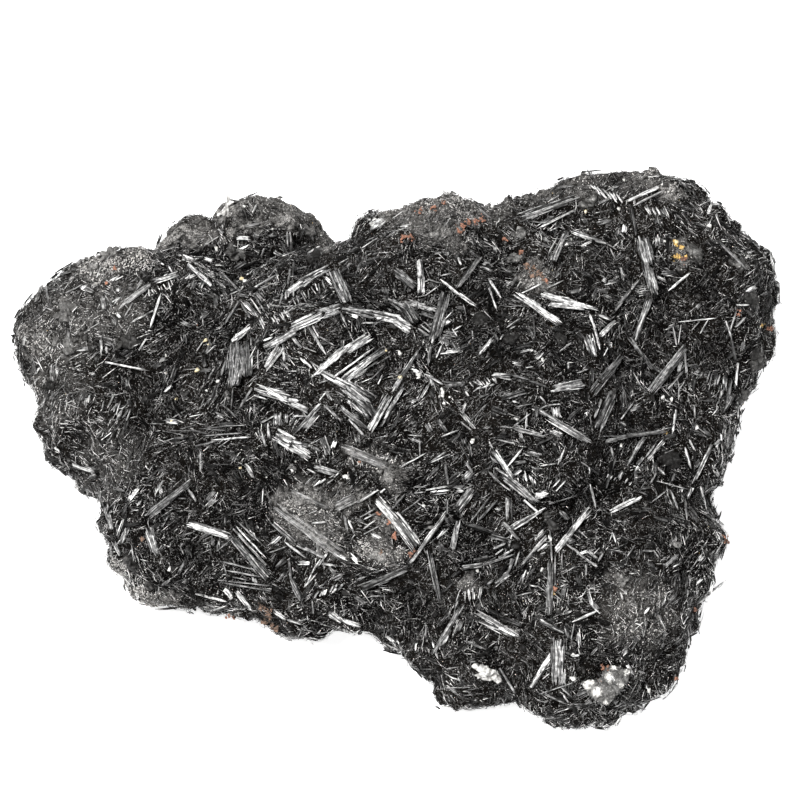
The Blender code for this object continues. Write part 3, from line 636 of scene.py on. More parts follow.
class NodeSheet:
    """A material's node tree, with short ways to add to it."""

    def __init__(self, name: str) -> None:
        """Starts a material with its Principled shader.

        Args:
            name: the material's name.
        """
        self.material = bpy.data.materials.new(name)
        self.material.use_nodes = True
        self.tree = self.material.node_tree
        self.shader = self.tree.nodes["Principled BSDF"]

    def add(self, kind: str, **settings: object) -> bpy.types.Node:
        """Adds a node.

        Args:
            kind: its type's name.
            **settings: its properties.

        Returns:
            The node.
        """
        node = self.tree.nodes.new(kind)
        for name, value in settings.items():
            setattr(node, name, value)
        return node

    def link(self, source: Socket, target: Socket) -> None:
        """Joins two sockets."""
        self.tree.links.new(source, target)

    def drive(self, socket: Socket, value: object) -> None:
        """Sets a socket.

        Args:
            socket: an input.
            value: another socket, which is linked to it, or a number or a colour.
        """
        if isinstance(value, Socket):
            self.link(value, socket)
        else:
            socket.default_value = value

    def dress(self, **values: object) -> Material:
        """Sets or links the shader's inputs.

        Args:
            **values: what each gets, by its name with _ for a space.

        Returns:
            The material.
        """
        for name, value in values.items():
            self.drive(self.shader.inputs[name.replace("_", " ")], value)
        return self.material

    def place(self) -> Socket:
        """The object's own coordinates, in metres."""
        return self.add("ShaderNodeTexCoord").outputs["Object"]

    def attribute(self, name: str) -> Socket:
        """The number that each vertex carries under a name."""
        return self.add("ShaderNodeAttribute", attribute_name=name).outputs["Fac"]

    def maths(self, operation: str, *values: object) -> Socket:
        """A sum of sockets and numbers.

        Args:
            operation: the Math node's operation.
            *values: sockets or numbers, in order.

        Returns:
            The result.
        """
        node = self.add("ShaderNodeMath", operation=operation)
        for socket, value in zip(node.inputs, values):
            self.drive(socket, value)
        return node.outputs[0]

    def noise(self, vector: Socket, scale: float, detail: float = 2) -> Socket:
        """A cloudy pattern.

        Args:
            vector: the coordinates that it follows.
            scale: how fine it is.
            detail: its octaves.

        Returns:
            Its value.
        """
        node = self.add("ShaderNodeTexNoise")
        node.inputs["Scale"].default_value = scale
        node.inputs["Detail"].default_value = detail
        self.link(vector, node.inputs["Vector"])
        return node.outputs["Fac"]

    def along_laths(self, scale: Size) -> Socket:
        """The millimetres along and across each lath.

        Args:
            scale: how many times, along each axis.

        Returns:
            The scaled coordinates.
        """
        node = self.add("ShaderNodeMapping")
        node.inputs["Scale"].default_value = scale
        self.link(self.add("ShaderNodeUVMap", uv_map="grain").outputs["UV"], node.inputs["Vector"])
        return node.outputs["Vector"]

    def between(self, value: Socket, low: float, high: float, to_low: float, to_high: float) -> Socket:
        """A value whose range is moved onto another range.

        Args:
            value: its socket.
            low: the lower end.
            high: the upper end.
            to_low: what the lower end becomes.
            to_high: what the upper end becomes.

        Returns:
            The result.
        """
        node = self.add("ShaderNodeMapRange")
        self.link(value, node.inputs["Value"])
        for name, number in zip(("From Min", "From Max", "To Min", "To Max"), (low, high, to_low, to_high)):
            node.inputs[name].default_value = number
        return node.outputs["Result"]

    def mix(self, share: Socket, first: object, second: object) -> Socket:
        """Two colours mixed.

        Args:
            share: how much of the second.
            first: a colour or its socket.
            second: a colour or its socket.

        Returns:
            The mixed colour.
        """
        node = self.add("ShaderNodeMix", data_type="RGBA")
        self.link(share, node.inputs["Factor"])
        for socket, colour in ((node.inputs[6], first), (node.inputs[7], second)):
            self.drive(socket, colour if isinstance(colour, Socket) else (*colour, 1))
        return node.outputs[2]

    def dusted(self, bare: Socket, dust: Colour, scale: float) -> Socket:
        """A colour greyed by patchy dust, which also carries the highlight and shade painted on the upper
        lobe.

        Args:
            bare: the colour.
            dust: the dust's colour.
            scale: how fine the patches are.

        Returns:
            The greyed colour.
        """
        place = self.place()
        broad = self.between(self.noise(place, 0.2 * scale, 3), 0.4, 0.6, 0.45, 1.15)
        patchy = self.between(self.noise(place, scale, 5), 0.44, 0.56, 0.25, 1.1)
        fine = self.between(self.noise(place, 3 * scale, 2), 0.42, 0.58, 0.35, 1.3)
        share = self.maths("MULTIPLY", self.attribute("dust"), broad)
        share = self.maths("MULTIPLY", self.maths("MULTIPLY", share, patchy), fine)
        return self.mix(share, bare, dust)

    def bump(self, height: Socket, strength: float, distance: float) -> Socket:
        """A normal that ripples with a height.

        Args:
            height: the height.
            strength: how strongly it ripples.
            distance: how high the ripples are, in metres.

        Returns:
            The normal.
        """
        node = self.add("ShaderNodeBump")
        node.inputs["Strength"].default_value = strength
        node.inputs["Distance"].default_value = distance
        self.link(height, node.inputs["Height"])
        return node.outputs["Normal"]


@dataclass(frozen=True)
class FeltFinish:
    """Black needles with a dull metallic lustre, greyed where dust lies."""

    name: str = "needle felt"
    black: Colour = (0.0015, 0.0013, 0.0012)
    silver: Colour = (0.96, 0.945, 0.925)
    dust: Colour = (0.32, 0.31, 0.298)
    roughness: float = 0.36
    lustre: float = 1.75

    def material(self) -> Material:
        """Makes the material.

        Returns:
            The material.
        """
        sheet = NodeSheet(self.name)
        tone = sheet.attribute("tone")
        cloud = sheet.between(sheet.noise(sheet.place(), 4500, 3), 0.43, 0.56, 0.1, 2.0)
        bare = sheet.mix(sheet.maths("MULTIPLY", tone, cloud), self.black, self.silver)
        return sheet.dress(
            Base_Color=sheet.dusted(bare, self.dust, 1800),
            Roughness=self.roughness,
            Specular_IOR_Level=sheet.between(tone, 0.0, 0.3, 0.015, 0.7),
            IOR=self.lustre,
            Normal=sheet.bump(sheet.noise(sheet.place(), 4000), 0.3, 0.04 * MM),
        )


@dataclass(frozen=True)
class BladeFinish:
    """Striated blades: fine light and dark lines run along each lath, and patches of it are duller."""

    name: str = "striated blades"
    black: Colour = (0.002, 0.0018, 0.0016)
    silver: Colour = (0.97, 0.96, 0.945)
    dust: Colour = (0.32, 0.31, 0.298)
    roughness: float = 0.34
    lustre: float = 1.9
    lines: Size = (0.5, 7.5, 1.0)

    def material(self) -> Material:
        """Makes the material.

        Returns:
            The material.
        """
        sheet = NodeSheet(self.name)
        streak = sheet.noise(sheet.along_laths(self.lines), 1.0, 5)
        lined = sheet.between(streak, 0.43, 0.57, 0.22, 1.5)
        patchy = sheet.between(sheet.noise(sheet.place(), 1900, 4), 0.42, 0.58, 0.5, 1.25)
        # For the large blades the tone attribute holds a painted glint as well as their own grey.
        tone = sheet.maths("MULTIPLY", sheet.maths("MULTIPLY", sheet.attribute("tone"), lined), patchy)
        bare = sheet.mix(tone, self.black, self.silver)
        return sheet.dress(
            Base_Color=sheet.dusted(bare, self.dust, 1500),
            Roughness=sheet.between(streak, 0.3, 0.7, self.roughness + 0.15, self.roughness),
            Specular_IOR_Level=sheet.between(tone, 0.0, 0.3, 0.02, 0.7),
            IOR=self.lustre,
            Normal=sheet.bump(streak, 0.9, 0.07 * MM),
        )


@dataclass(frozen=True)
class GroundFinish:
    """The black groundmass between the needles, with fine bright veins and flecks."""

    name: str = "groundmass"
    black: Colour = (0.0015, 0.0013, 0.0012)
    brown: Colour = (0.006, 0.005, 0.004)
    silver: Colour = (0.9, 0.88, 0.86)
    dust: Colour = (0.32, 0.309, 0.295)

    def material(self) -> Material:
        """Makes the material.

        Returns:
            The material.
        """
        sheet = NodeSheet(self.name)
        place = sheet.place()
        cloud = sheet.between(sheet.noise(place, 150, 3), 0.4, 0.65, 0.0, 1.0)
        gap = sheet.maths("ABSOLUTE", sheet.maths("SUBTRACT", sheet.noise(place, 1500), 0.5))
        vein = sheet.between(gap, 0.0, 0.022, 0.22, 0.0)
        broken = sheet.between(sheet.noise(place, 700), 0.46, 0.56, 0.0, 1.0)
        fleck = sheet.between(sheet.noise(place, 5600, 1), 0.66, 0.74, 0.0, 0.5)
        light = sheet.maths("MAXIMUM", sheet.maths("MULTIPLY", vein, broken), fleck)
        bare = sheet.mix(light, sheet.mix(cloud, self.black, self.brown), self.silver)
        return sheet.dress(
            Base_Color=sheet.dusted(bare, self.dust, 1500),
            Roughness=0.6,
            Specular_IOR_Level=0.012,
            Normal=sheet.bump(sheet.noise(place, 2500, 4), 0.7, 0.2 * MM),
        )


@dataclass(frozen=True)
class ChipFinish:
    """Smooth dark chips with a soft, cloudy sheen."""

    name: str = "smooth chips"
    black: Colour = (0.0034, 0.003, 0.0027)
    grey: Colour = (0.96, 0.94, 0.9)
    dust: Colour = (0.32, 0.309, 0.295)

    def material(self) -> Material:
        """Makes the material.

        Returns:
            The material.
        """
        sheet = NodeSheet(self.name)
        place = sheet.place()
        tone = sheet.attribute("tone")
        cloud = sheet.between(sheet.noise(place, 1900, 4), 0.36, 0.64, 0.35, 1.6)
        speck = sheet.between(sheet.noise(place, 5000, 1), 0.62, 0.72, 0.0, 3.0)
        shade = sheet.maths("MULTIPLY", tone, sheet.maths("ADD", cloud, speck))
        return sheet.dress(
            Base_Color=sheet.dusted(sheet.mix(shade, self.black, self.grey), self.dust, 3500),
            Roughness=0.5,
            Specular_IOR_Level=sheet.between(tone, 0.0, 0.15, 0.12, 0.5),
            Normal=sheet.bump(sheet.noise(place, 3000, 4), 0.6, 0.08 * MM),
        )


@dataclass(frozen=True)
class DustFinish:
    """Matt crumbs of grey and beige dust."""

    name: str = "dust"
    dark: Colour = (0.03, 0.028, 0.025)
    light: Colour = (0.72, 0.695, 0.665)

    def material(self) -> Material:
        """Makes the material.

        Returns:
            The material.
        """
        sheet = NodeSheet(self.name)
        cloud = sheet.between(sheet.noise(sheet.place(), 500, 3), 0.35, 0.65, 0.4, 1.4)
        tone = sheet.maths("MULTIPLY", sheet.attribute("tone"), cloud)
        return sheet.dress(Base_Color=sheet.mix(tone, self.dark, self.light), Roughness=0.85)


@dataclass(frozen=True)
class GrainFinish:
    """Matt grains of other minerals, each a little lighter or darker."""

    name: str
    colour: Colour
    shade: Colour
    roughness: float = 0.7
    cloudiness: float = 1800

    def material(self) -> Material:
        """Makes the material.

        Returns:
            The material.
        """
        sheet = NodeSheet(self.name)
        cloud = sheet.between(sheet.noise(sheet.place(), self.cloudiness, 4), 0.38, 0.62, 0.0, 1.0)
        return sheet.dress(
            Base_Color=sheet.mix(cloud, self.colour, self.shade),
            Roughness=self.roughness,
            Normal=sheet.bump(sheet.noise(sheet.place(), 5000, 3), 0.5, 0.1 * MM),
        )


@dataclass(frozen=True)
class Stamp:
    """A small closed shape along +Z, from 0 to 1, that is printed many times into one mesh."""

    points: Array
    faces: Array

    @staticmethod
    def of(work: bmesh.types.BMesh) -> "Stamp":
        """Makes a stamp of a shape, and uses the shape up.

        Args:
            work: the shape.

        Returns:
            The stamp.
        """
        bmesh.ops.triangulate(work, faces=work.faces[:])
        work.verts.index_update()
        points = np.array([vertex.co for vertex in work.verts])
        faces = np.array([[vertex.index for vertex in face.verts] for face in work.faces])
        work.free()
        return Stamp(points, faces)

    def turned(self) -> "Stamp":
        """The same shape with its foot and tip changed over."""
        return Stamp(self.points * (-1, 1, -1) + (0, 0, 1), self.faces)

    @staticmethod
    def hull(work: bmesh.types.BMesh) -> "Stamp":
        """Makes a stamp of the hull about a shape's points, and uses the shape up.

        Args:
            work: the shape.

        Returns:
            The stamp.
        """
        found = bmesh.ops.convex_hull(work, input=work.verts[:])
        bmesh.ops.delete(work, geom=list({*found["geom_interior"], *found["geom_unused"]}), context="VERTS")
        return Stamp.of(work)

    @staticmethod
    def lath(habit: Habit) -> "Stamp":
        """A crystal: a prism whose width changes along it.

        Args:
            habit: its shape.

        Returns:
            The stamp.
        """
        work = bmesh.new()
        first, last = habit.widths[0], habit.widths[-1]
        bmesh.ops.create_cone(
            work, cap_ends=True, segments=habit.sides, radius1=first / 2, radius2=last / 2, depth=1,
            matrix=Matrix.Translation((0, 0, 0.5)) @ Matrix.Rotation(math.pi / habit.sides, 4, "Z"),
        )
        for station in habit.stations[1:-1]:
            shape = [*work.verts, *work.edges, *work.faces]
            bmesh.ops.bisect_plane(work, geom=shape, plane_co=(0, 0, station), plane_no=(0, 0, 1))
        for vertex in work.verts:
            height = vertex.co.z
            width = np.interp(height, habit.stations, habit.widths)
            swell = width / max(first + (last - first) * height, 1e-6)
            vertex.co.x *= swell
            vertex.co.y *= swell
            if height > 0.999:
                vertex.co.z += habit.slant * vertex.co.x
            vertex.co.x += habit.bend * 4 * height * (1 - height)
        return Stamp.of(work)

    @staticmethod
    def chip(corners: int, dice: Dice) -> "Stamp":
        """A flat, irregular flake with a worn upper rim.

        Args:
            corners: how many corners it has.
            dice: shapes it.

        Returns:
            The stamp.
        """
        work = bmesh.new()
        turns = (np.arange(corners) + dice.uniform(-0.3, 0.3, corners)) * 2 * math.pi / corners
        reaches = dice.uniform(0.75, 1.0, corners)
        for scale, height in ((1.0, -0.5), (0.96, 0.15), (0.6, 0.5)):
            for turn, reach in zip(turns, reaches):
                aside = math.cos(turn) * reach * scale / 2
                along = math.sin(turn) * reach * scale / 2
                work.verts.new((aside, height + dice.uniform(-0.12, 0.12), 0.5 + along))
        return Stamp.hull(work)

    @staticmethod
    def grain(corners: int, dice: Dice) -> "Stamp":
        """An angular grain about the origin, with a radius of about 1.

        Args:
            corners: how many points shape it.
            dice: places them.

        Returns:
            The stamp.
        """
        work = bmesh.new()
        reaches = dice.uniform(0.7, 1.0, (corners, 1)) * dice.uniform(0.6, 1.0, 3)
        for spot in unit(dice.normal(size=(corners, 3))) * reaches:
            work.verts.new(spot)
        return Stamp.hull(work)


@dataclass
class Print:
    """The places at which one stamp is printed: one row for each copy."""

    stamp: Stamp
    feet: Array
    axes: Array
    outs: Array
    lengths: Array
    widths: Array
    thicknesses: Array
    tones: Array

    def points(self) -> Array:
        """Works out every copy's vertices.

        Returns:
            An array of copies, vertices and coordinates.
        """
        sides = np.cross(self.outs, self.axes)
        shape = self.stamp.points[None, :, :, None]
        across = shape[:, :, 0] * (sides * self.widths[:, None])[:, None, :]
        above = shape[:, :, 1] * (self.outs * self.thicknesses[:, None])[:, None, :]
        along = shape[:, :, 2] * (self.axes * self.lengths[:, None])[:, None, :]
        return self.feet[:, None, :] + across + above + along

    def keep(self, chosen: Array) -> "Print":
        """The same print with only the chosen copies."""
        rows = (self.feet, self.axes, self.outs, self.lengths, self.widths, self.thicknesses, self.tones)
        return Print(self.stamp, *(row[chosen] for row in rows))


class MeshBin:
    """Gathers many small shapes and makes one mesh of them."""

    def __init__(self) -> None:
        """Starts empty."""
        self.points: list[Array] = []
        self.faces: list[Array] = []
        self.tones: list[Array] = []
        self.grain: list[Array] = []
        self.count = 0

    def add(self, points: Array, faces: Array, tones: Array, grain: Array) -> None:
        """Adds one shape or many.

        Args:
            points: its vertices.
            faces: its triangles, counting from its own first vertex.
            tones: the tone of each vertex.
            grain: the UV of each vertex, in millimetres along and across its lath.
        """
        self.points.append(points)
        self.faces.append(faces + self.count)
        self.tones.append(tones)
        self.grain.append(grain)
        self.count += len(points)

    def add_print(self, copies: Print, dice: Dice) -> None:
        """Adds every copy of a print that stays above the floor.

        Args:
            copies: the print.
            dice: gives each copy its own stretch of the grain pattern.
        """
        copies = copies.keep(copies.points()[:, :, 2].min(1) > FLOOR_GAP)
        points = copies.points()
        number, each = points.shape[:2]
        faces = copies.stamp.faces[None] + (np.arange(number) * each)[:, None, None]
        tones = np.repeat(copies.tones, each)
        shift = dice.uniform(0, 500, (number, 1, 2))
        shape = copies.stamp.points
        along = shape[None, :, 2] * copies.lengths[:, None] / MM
        around = (shape[None, :, 0] + shape[None, :, 1] * 0.4) * copies.widths[:, None] / MM
        grain = np.stack([along, around], 2) + shift
        self.add(points.reshape(-1, 3), faces.reshape(-1, 3), tones, grain.reshape(-1, 2))

    def build(self, name: str, material: Material, dust: "DustMap") -> Piece:
        """Makes the object.

        Args:
            name: its name.
            material: its finish.
            dust: says how dusty each place is.

        Returns:
            The object.
        """
        points = np.concatenate(self.points)
        faces = np.concatenate(self.faces)
        mesh = bpy.data.meshes.new(name)
        mesh.vertices.add(len(points))
        mesh.loops.add(len(faces) * 3)
        mesh.polygons.add(len(faces))
        mesh.vertices.foreach_set("co", points.astype(np.float32).ravel())
        mesh.loops.foreach_set("vertex_index", faces.astype(np.int32).ravel())
        mesh.polygons.foreach_set("loop_start", np.arange(0, len(faces) * 3, 3, dtype=np.int32))
        mesh.update(calc_edges=True)
        set_numbers(mesh, "tone", np.concatenate(self.tones))
        set_numbers(mesh, "dust", dust.grey(points))
        layer = mesh.uv_layers.new(name="grain")
        layer.data.foreach_set("uv", np.concatenate(self.grain)[faces.ravel()].astype(np.float32).ravel())
        mesh.materials.append(material)
        return new_object(name, mesh)


@dataclass
class Clearing:
    """The strips of the show face that large blades and chips cover, where no fine needle lies."""

    eye: Eye
    strips: Sequence[Lath]
    margin: float = 0.5

    def covers(self, places: Array, normals: Array) -> Array:
        """Whether each place lies in a strip.

        Args:
            places: the places, one a row.
            normals: the surface's normals there.

        Returns:
            One truth value a row.
        """
        seen = self.eye.pixels(places)
        covered = np.zeros(len(places), bool)
        for strip in self.strips:
            start = np.array((strip.x0, strip.y0))
            run = np.array((strip.x1, strip.y1)) - start
            share = np.clip((seen - start) @ run / (run @ run), 0, 1)
            gap = np.linalg.norm(seen - start - share[:, None] * run, axis=1)
            covered |= gap < strip.width / 2 + self.margin
        return covered & (normals @ self.eye.toward > 0)


def away(seen: Array, spot: NamedTuple) -> Array:
    """How far places in the picture, one a row, are from a table entry's middle, in pixels."""
    return np.hypot(seen[:, 0] - spot.x, seen[:, 1] - spot.y)


def read_rows(items: bpy.types.bpy_prop_collection, name: str, kind: type = np.float32) -> Array:
    """Reads three numbers of every item of a mesh.

    Args:
        items: its vertices or triangles.
        name: the numbers' name.
        kind: what they are stored as.

    Returns:
        The numbers, one item a row.
    """
    numbers = np.zeros(len(items) * 3, kind)
    items.foreach_get(name, numbers)
    return numbers.reshape(-1, 3).astype(float if kind is np.float32 else kind)


def set_numbers(mesh: bpy.types.Mesh, name: str, numbers: Array) -> None:
    """Stores a number at each vertex of a mesh, under a name."""
    layer = mesh.attributes.new(name, "FLOAT", "POINT")
    layer.data.foreach_set("value", numbers.astype(np.float32))


def new_object(name: str, data: bpy.types.ID) -> Piece:
    """Makes an object and links it to the scene.

    Args:
        name: its name.
        data: its data.

    Returns:
        The object.
    """
    made = bpy.data.objects.new(name, data)
    bpy.context.scene.collection.objects.link(made)
    return made


def finish_piece(piece: Piece, slot: Slot) -> Piece:
    """Puts a piece on the specimen's body in place of the plain solid.

    Args:
        piece: the piece.
        slot: not used.

    Returns:
        The piece.
    """
    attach(piece, BODY)
    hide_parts(NODE)
    LOG.info("%s: %d triangles", piece.name, sum(len(face.vertices) - 2 for face in piece.data.polygons))
    return piece


def unit(rows: Array) -> Array:
    """Vectors, one a row, brought to length 1."""
    return rows / np.maximum(np.linalg.norm(rows, axis=-1, keepdims=True), 1e-12)


def level(rows: Array, normals: Array) -> Array:
    """Directions, one a row, laid flat on surfaces with the normals given."""
    return unit(rows - normals * (rows * normals).sum(-1, keepdims=True))


class Skin:
    """The groundmass's surface: where it is under a pixel, and points spread evenly over it."""

    def __init__(self, mesh: bpy.types.Mesh, eye: Eye) -> None:
        """Reads the surface.

        Args:
            mesh: the groundmass.
            eye: the view that pixels belong to.
        """
        self.eye = eye
        work = bmesh.new()
        work.from_mesh(mesh)
        self.tree = BVHTree.FromBMesh(work)
        work.free()
        mesh.calc_loop_triangles()
        triangles = read_rows(mesh.loop_triangles, "vertices", np.int32)
        self.corners = read_rows(mesh.vertices, "co")[triangles]
        cross = np.cross(self.corners[:, 1] - self.corners[:, 0], self.corners[:, 2] - self.corners[:, 0])
        self.areas = np.linalg.norm(cross, axis=1) / 2
        self.normals = unit(read_rows(mesh.vertices, "normal")[triangles].sum(1))

    def under(self, x: float, y: float) -> Hit:
        """Where the surface lies under a pixel.

        Args:
            x: pixels from the picture's left.
            y: pixels from its top.

        Returns:
            The place and the normal, if any.
        """
        start = self.eye.place
        place, normal, _, _ = self.tree.ray_cast(Vector(start), Vector(self.eye.on_plane(x, y) - start))
        return None if place is None else (np.array(place), np.array(normal))

    def patch(self, x: float, y: float, reach: float) -> Hit:
        """The surface's mean place and normal about a pixel.

        Args:
            x: pixels from the picture's left.
            y: pixels from its top.
            reach: how far about the pixel to look, in pixels.

        Returns:
            The place and the normal, if any.
        """
        turns = np.arange(0, 2 * math.pi, math.pi / 4)
        spots = [(x, y), *((x + reach * math.cos(turn), y + reach * math.sin(turn)) for turn in turns)]
        hits = [hit for hit in (self.under(*spot) for spot in spots) if hit is not None]
        if not hits:
            return None
        depth = np.mean([self.eye.depth(place) for place, _ in hits])
        return self.eye.at_depth(x, y, depth), unit(np.sum([normal for _, normal in hits], 0))

    def gaps(self, places: Array) -> Array:
        """How far each of the places is from the surface."""
        return np.array([self.tree.find_nearest(Vector(place))[3] for place in places])

    def spread(self, number: int, dice: Dice) -> tuple[Array, Array]:
        """Points spread evenly over the surface.

        Args:
            number: how many.
            dice: chooses them.

        Returns:
            The places and the normals, one a row.
        """
        chosen = dice.choice(len(self.areas), number, p=self.areas / self.areas.sum())
        u, v = dice.random((2, number, 1))
        fold = u + v > 1
        u, v = np.where(fold, 1 - u, u), np.where(fold, 1 - v, v)
        corners = self.corners[chosen]
        places = corners[:, 0] + u * (corners[:, 1] - corners[:, 0]) + v * (corners[:, 2] - corners[:, 0])
        return places, self.normals[chosen]


@dataclass
class DustMap:
    """Where dust greys the specimen and hides its needles, and where a few patches paint a highlight and
    shade on the upper lobe.

    On the show face it lies in patches with ragged edges. On the hidden sides it is a thin, cloudy film.
    """

    skin: Skin
    patches: Sequence[Dust] = DUST_WITH_PAINTED_LIGHT_AND_SHADE
    ragged: float = 3.5
    step: int = 5
    behind: float = 5 * MM
    film: float = 0.6
    cloud: float = 3.2 * MM

    def __post_init__(self) -> None:
        """Measures how near to the eye the surface is, on a grid of pixels."""
        eye = self.skin.eye
        count = eye.picture // self.step + 1
        self.front = np.full((count, count), -np.inf)
        for row in range(count):
            for column in range(count):
                hit = self.skin.under(column * self.step, row * self.step)
                if hit is not None:
                    self.front[row, column] = eye.depth(hit[0])
        self.waves = unit(np.random.default_rng(RANDOM_SEED).normal(size=(3, 5))) / self.cloud

    def grey(self, points: Array) -> Array:
        """How grey the dust and the painted highlight and shade are at each of the points, from 0 for none.
        """
        return self.most(points, [patch.grey for patch in self.patches])

    def cover(self, points: Array) -> Array:
        """What share of the needles is hidden at each of the points."""
        return self.most(points, [patch.smooth for patch in self.patches])

    def crumbs(self, points: Array) -> Array:
        """What share of the ground is strewn with crumbs of dust at each of the points."""
        return self.most(points, [patch.smooth * patch.crumbs for patch in self.patches])

    def most(self, points: Array, amounts: Sequence[float]) -> Array:
        """The strongest of the patches at each point, or the film on the hidden sides.

        Args:
            points: places, one a row.
            amounts: how strong each patch is at its middle.

        Returns:
            The strengths.
        """
        eye = self.skin.eye
        seen = eye.pixels(points)
        x, y = seen.T
        aside = x + self.ragged * (np.sin(0.21 * y + np.sin(0.13 * x)) + np.sin(0.6 * x - 0.5 * y))
        below = y + self.ragged * (np.sin(0.19 * x + np.sin(0.15 * y)) + np.sin(0.5 * x + 0.6 * y))
        most = np.zeros(len(points))
        for patch, amount in zip(self.patches, amounts):
            distance = np.hypot(aside - patch.x, below - patch.y) / patch.radius
            most = np.maximum(most, amount * np.clip(2.1 - 1.6 * distance, 0, 1))
        film = self.film * np.mean(amounts) * np.clip(np.sin(points @ self.waves).sum(1) * 0.5, 0, 1)
        column, row = np.clip(np.rint(seen / self.step).astype(int), 0, len(self.front) - 1).T
        return np.where(self.front[row, column] - eye.depth(points) > self.behind, film, most)


@dataclass
class Groundmass:
    """The lump itself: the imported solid's shape with the roughness of packed needle butts."""

    eye: Eye
    nudges: Sequence[Nudge] = NUDGES
    voxel: float = 0.63 * MM
    melting: int = 14
    lumps: Size = mm(2.8, 4.2)
    grit: Size = mm(1.1, 1.2)

    def build(self) -> Piece:
        """Makes the lump as one closed mesh.

        Returns:
            The lump.
        """
        work = bmesh.new()
        work.from_mesh(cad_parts[NODE].data)
        bmesh.ops.remove_doubles(work, verts=work.verts[:], dist=1e-6)
        rough = bpy.data.meshes.new("rough")
        work.to_mesh(rough)
        work.free()
        lump = new_object("groundmass", rough)
        melt = lump.modifiers.new("melt", "REMESH")
        melt.mode = "VOXEL"
        melt.voxel_size = self.voxel
        smooth = lump.modifiers.new("smooth", "SMOOTH")
        smooth.iterations = self.melting
        for number, (height, size) in enumerate((self.lumps, self.grit)):
            pattern = bpy.data.textures.new(f"relief {number}", "CLOUDS")
            pattern.noise_scale = size
            pattern.noise_depth = 2
            relief = lump.modifiers.new(f"relief {number}", "DISPLACE")
            relief.texture = pattern
            relief.texture_coords = "LOCAL"
            relief.strength = height
            relief.mid_level = 0.55
        bpy.context.view_layer.update()
        mesh = bpy.data.meshes.new_from_object(lump.evaluated_get(bpy.context.evaluated_depsgraph_get()))
        lump.modifiers.clear()
        lump.data = mesh
        self.settle(mesh)
        return lump

    def settle(self, mesh: bpy.types.Mesh) -> None:
        """Shifts parts of the outline, and keeps the underside on the level that the specimen rests on.

        Args:
            mesh: the lump's mesh.
        """
        places = read_rows(mesh.vertices, "co")
        seen = self.eye.pixels(places)
        for nudge in self.nudges:
            share = np.exp(-1.5 * (away(seen, nudge) / nudge.radius) ** 3)[:, None]
            places += share * (nudge.right * self.eye.right + nudge.up * self.eye.up) * self.eye.pixel
        places[:, 2] = np.maximum(places[:, 2], 0)
        mesh.vertices.foreach_set("co", places.astype(np.float32).ravel())
        mesh.update()

    def dress(self, lump: Piece, dust: DustMap) -> None:
        """Gives the lump its finish.

        Args:
            lump: the lump.
            dust: says how dusty each place is.
        """
        places = read_rows(lump.data.vertices, "co")
        set_numbers(lump.data, "dust", dust.grey(places) * (1 - 0.7 * dust.crumbs(places)))
        lump.data.materials.clear()
        lump.data.materials.append(GroundFinish().material())
        lump.data.shade_smooth()


@dataclass
class Grain:
    """The way the needles run: each of many small sheaves has a direction and an order of its own."""

    skin: Skin
    sheaves: int = 3000
    unevenness: float = 0.48
    # The painted shade of hollows: how far about a sheaf to compare, and how deep a dip darkens it by e.
    hollow_shade_reach: float = 4 * MM
    hollow_shade_depth: float = 0.7 * MM
    combs: Sequence[Comb] = COMBS
    # Patches of painted light and shade.
    painted_light_and_shade: Sequence[Shade] = PAINTED_LIGHT_AND_SHADE

    def __post_init__(self) -> None:
        """Lays out the sheaves, and paints shade into those in hollows and light into those on bumps."""
        dice = np.random.default_rng(RANDOM_SEED)
        self.places, normals = self.skin.spread(self.sheaves, dice)
        self.directions = unit(np.cross(normals, unit(dice.normal(size=(self.sheaves, 3)))))
        # Each sheaf's gain starts as its random tone; combs, the painted shade of hollows and the patches of
        # painted light and shade change it.
        self.gains_with_painted_light_and_shade = dice.lognormal(-0.06, self.unevenness, self.sheaves)
        self.loose = dice.choice((0.2, 0.7, 1.6), self.sheaves, p=(0.58, 0.27, 0.15))
        eye = self.skin.eye
        seen = eye.pixels(self.places)
        facing = normals @ eye.toward > 0.1
        for comb in self.combs:
            chosen = (away(seen, comb) < comb.radius) & facing
            self.directions[chosen] = level(eye.direction(comb.direction)[None], normals[chosen])
            self.gains_with_painted_light_and_shade[chosen] = comb.gain
            self.loose[chosen] = 0.25
        self.tree = KDTree(self.sheaves)
        for number, place in enumerate(self.places):
            self.tree.insert(place, number)
        self.tree.balance()
        # Painted shade and light: a sheaf lying below its neighbours is made darker, one standing above them
        # lighter.
        for number, (place, normal) in enumerate(zip(self.places, normals)):
            near = [found[0] for found in self.tree.find_range(place, self.hollow_shade_reach)]
            depth = (np.mean(near, 0) - place) @ normal
            self.gains_with_painted_light_and_shade[number] *= math.exp(-depth / self.hollow_shade_depth)

    def at(self, places: Array) -> tuple[Array, Array, Array]:
        """The direction, looseness and brightness, with painted light and shade, of the sheaf that each place
        belongs to.

        Args:
            places: the places, one a row.

        Returns:
            The directions, one a row, how loose each is, and the gains with painted light and shade.
        """
        nearest = np.array([self.tree.find(place)[1] for place in places])
        return self.directions[nearest], self.loose[nearest], self.gains_with_painted_light_and_shade[nearest] * self.shade(places)

    def shade(self, places: Array) -> Array:
        """How many times lighter each place is painted than most, by the patches of painted light and shade.

        Args:
            places: the places, one a row.

        Returns:
            The numbers.
        """
        seen = self.skin.eye.pixels(places)
        gain = np.ones(len(places))
        # Each patch paints light or shade into the needles about its middle.
        for shade in self.painted_light_and_shade:
            gain *= shade.gain ** (1.6 * np.clip(1.4 - away(seen, shade) / shade.radius, 0, 1))
        return gain


@dataclass
class Bed:
    """What every layer lies on: the surface, the way its needles run, its dust and its covered strips."""

    skin: Skin
    grain: Grain
    dust: DustMap
    clearing: Clearing


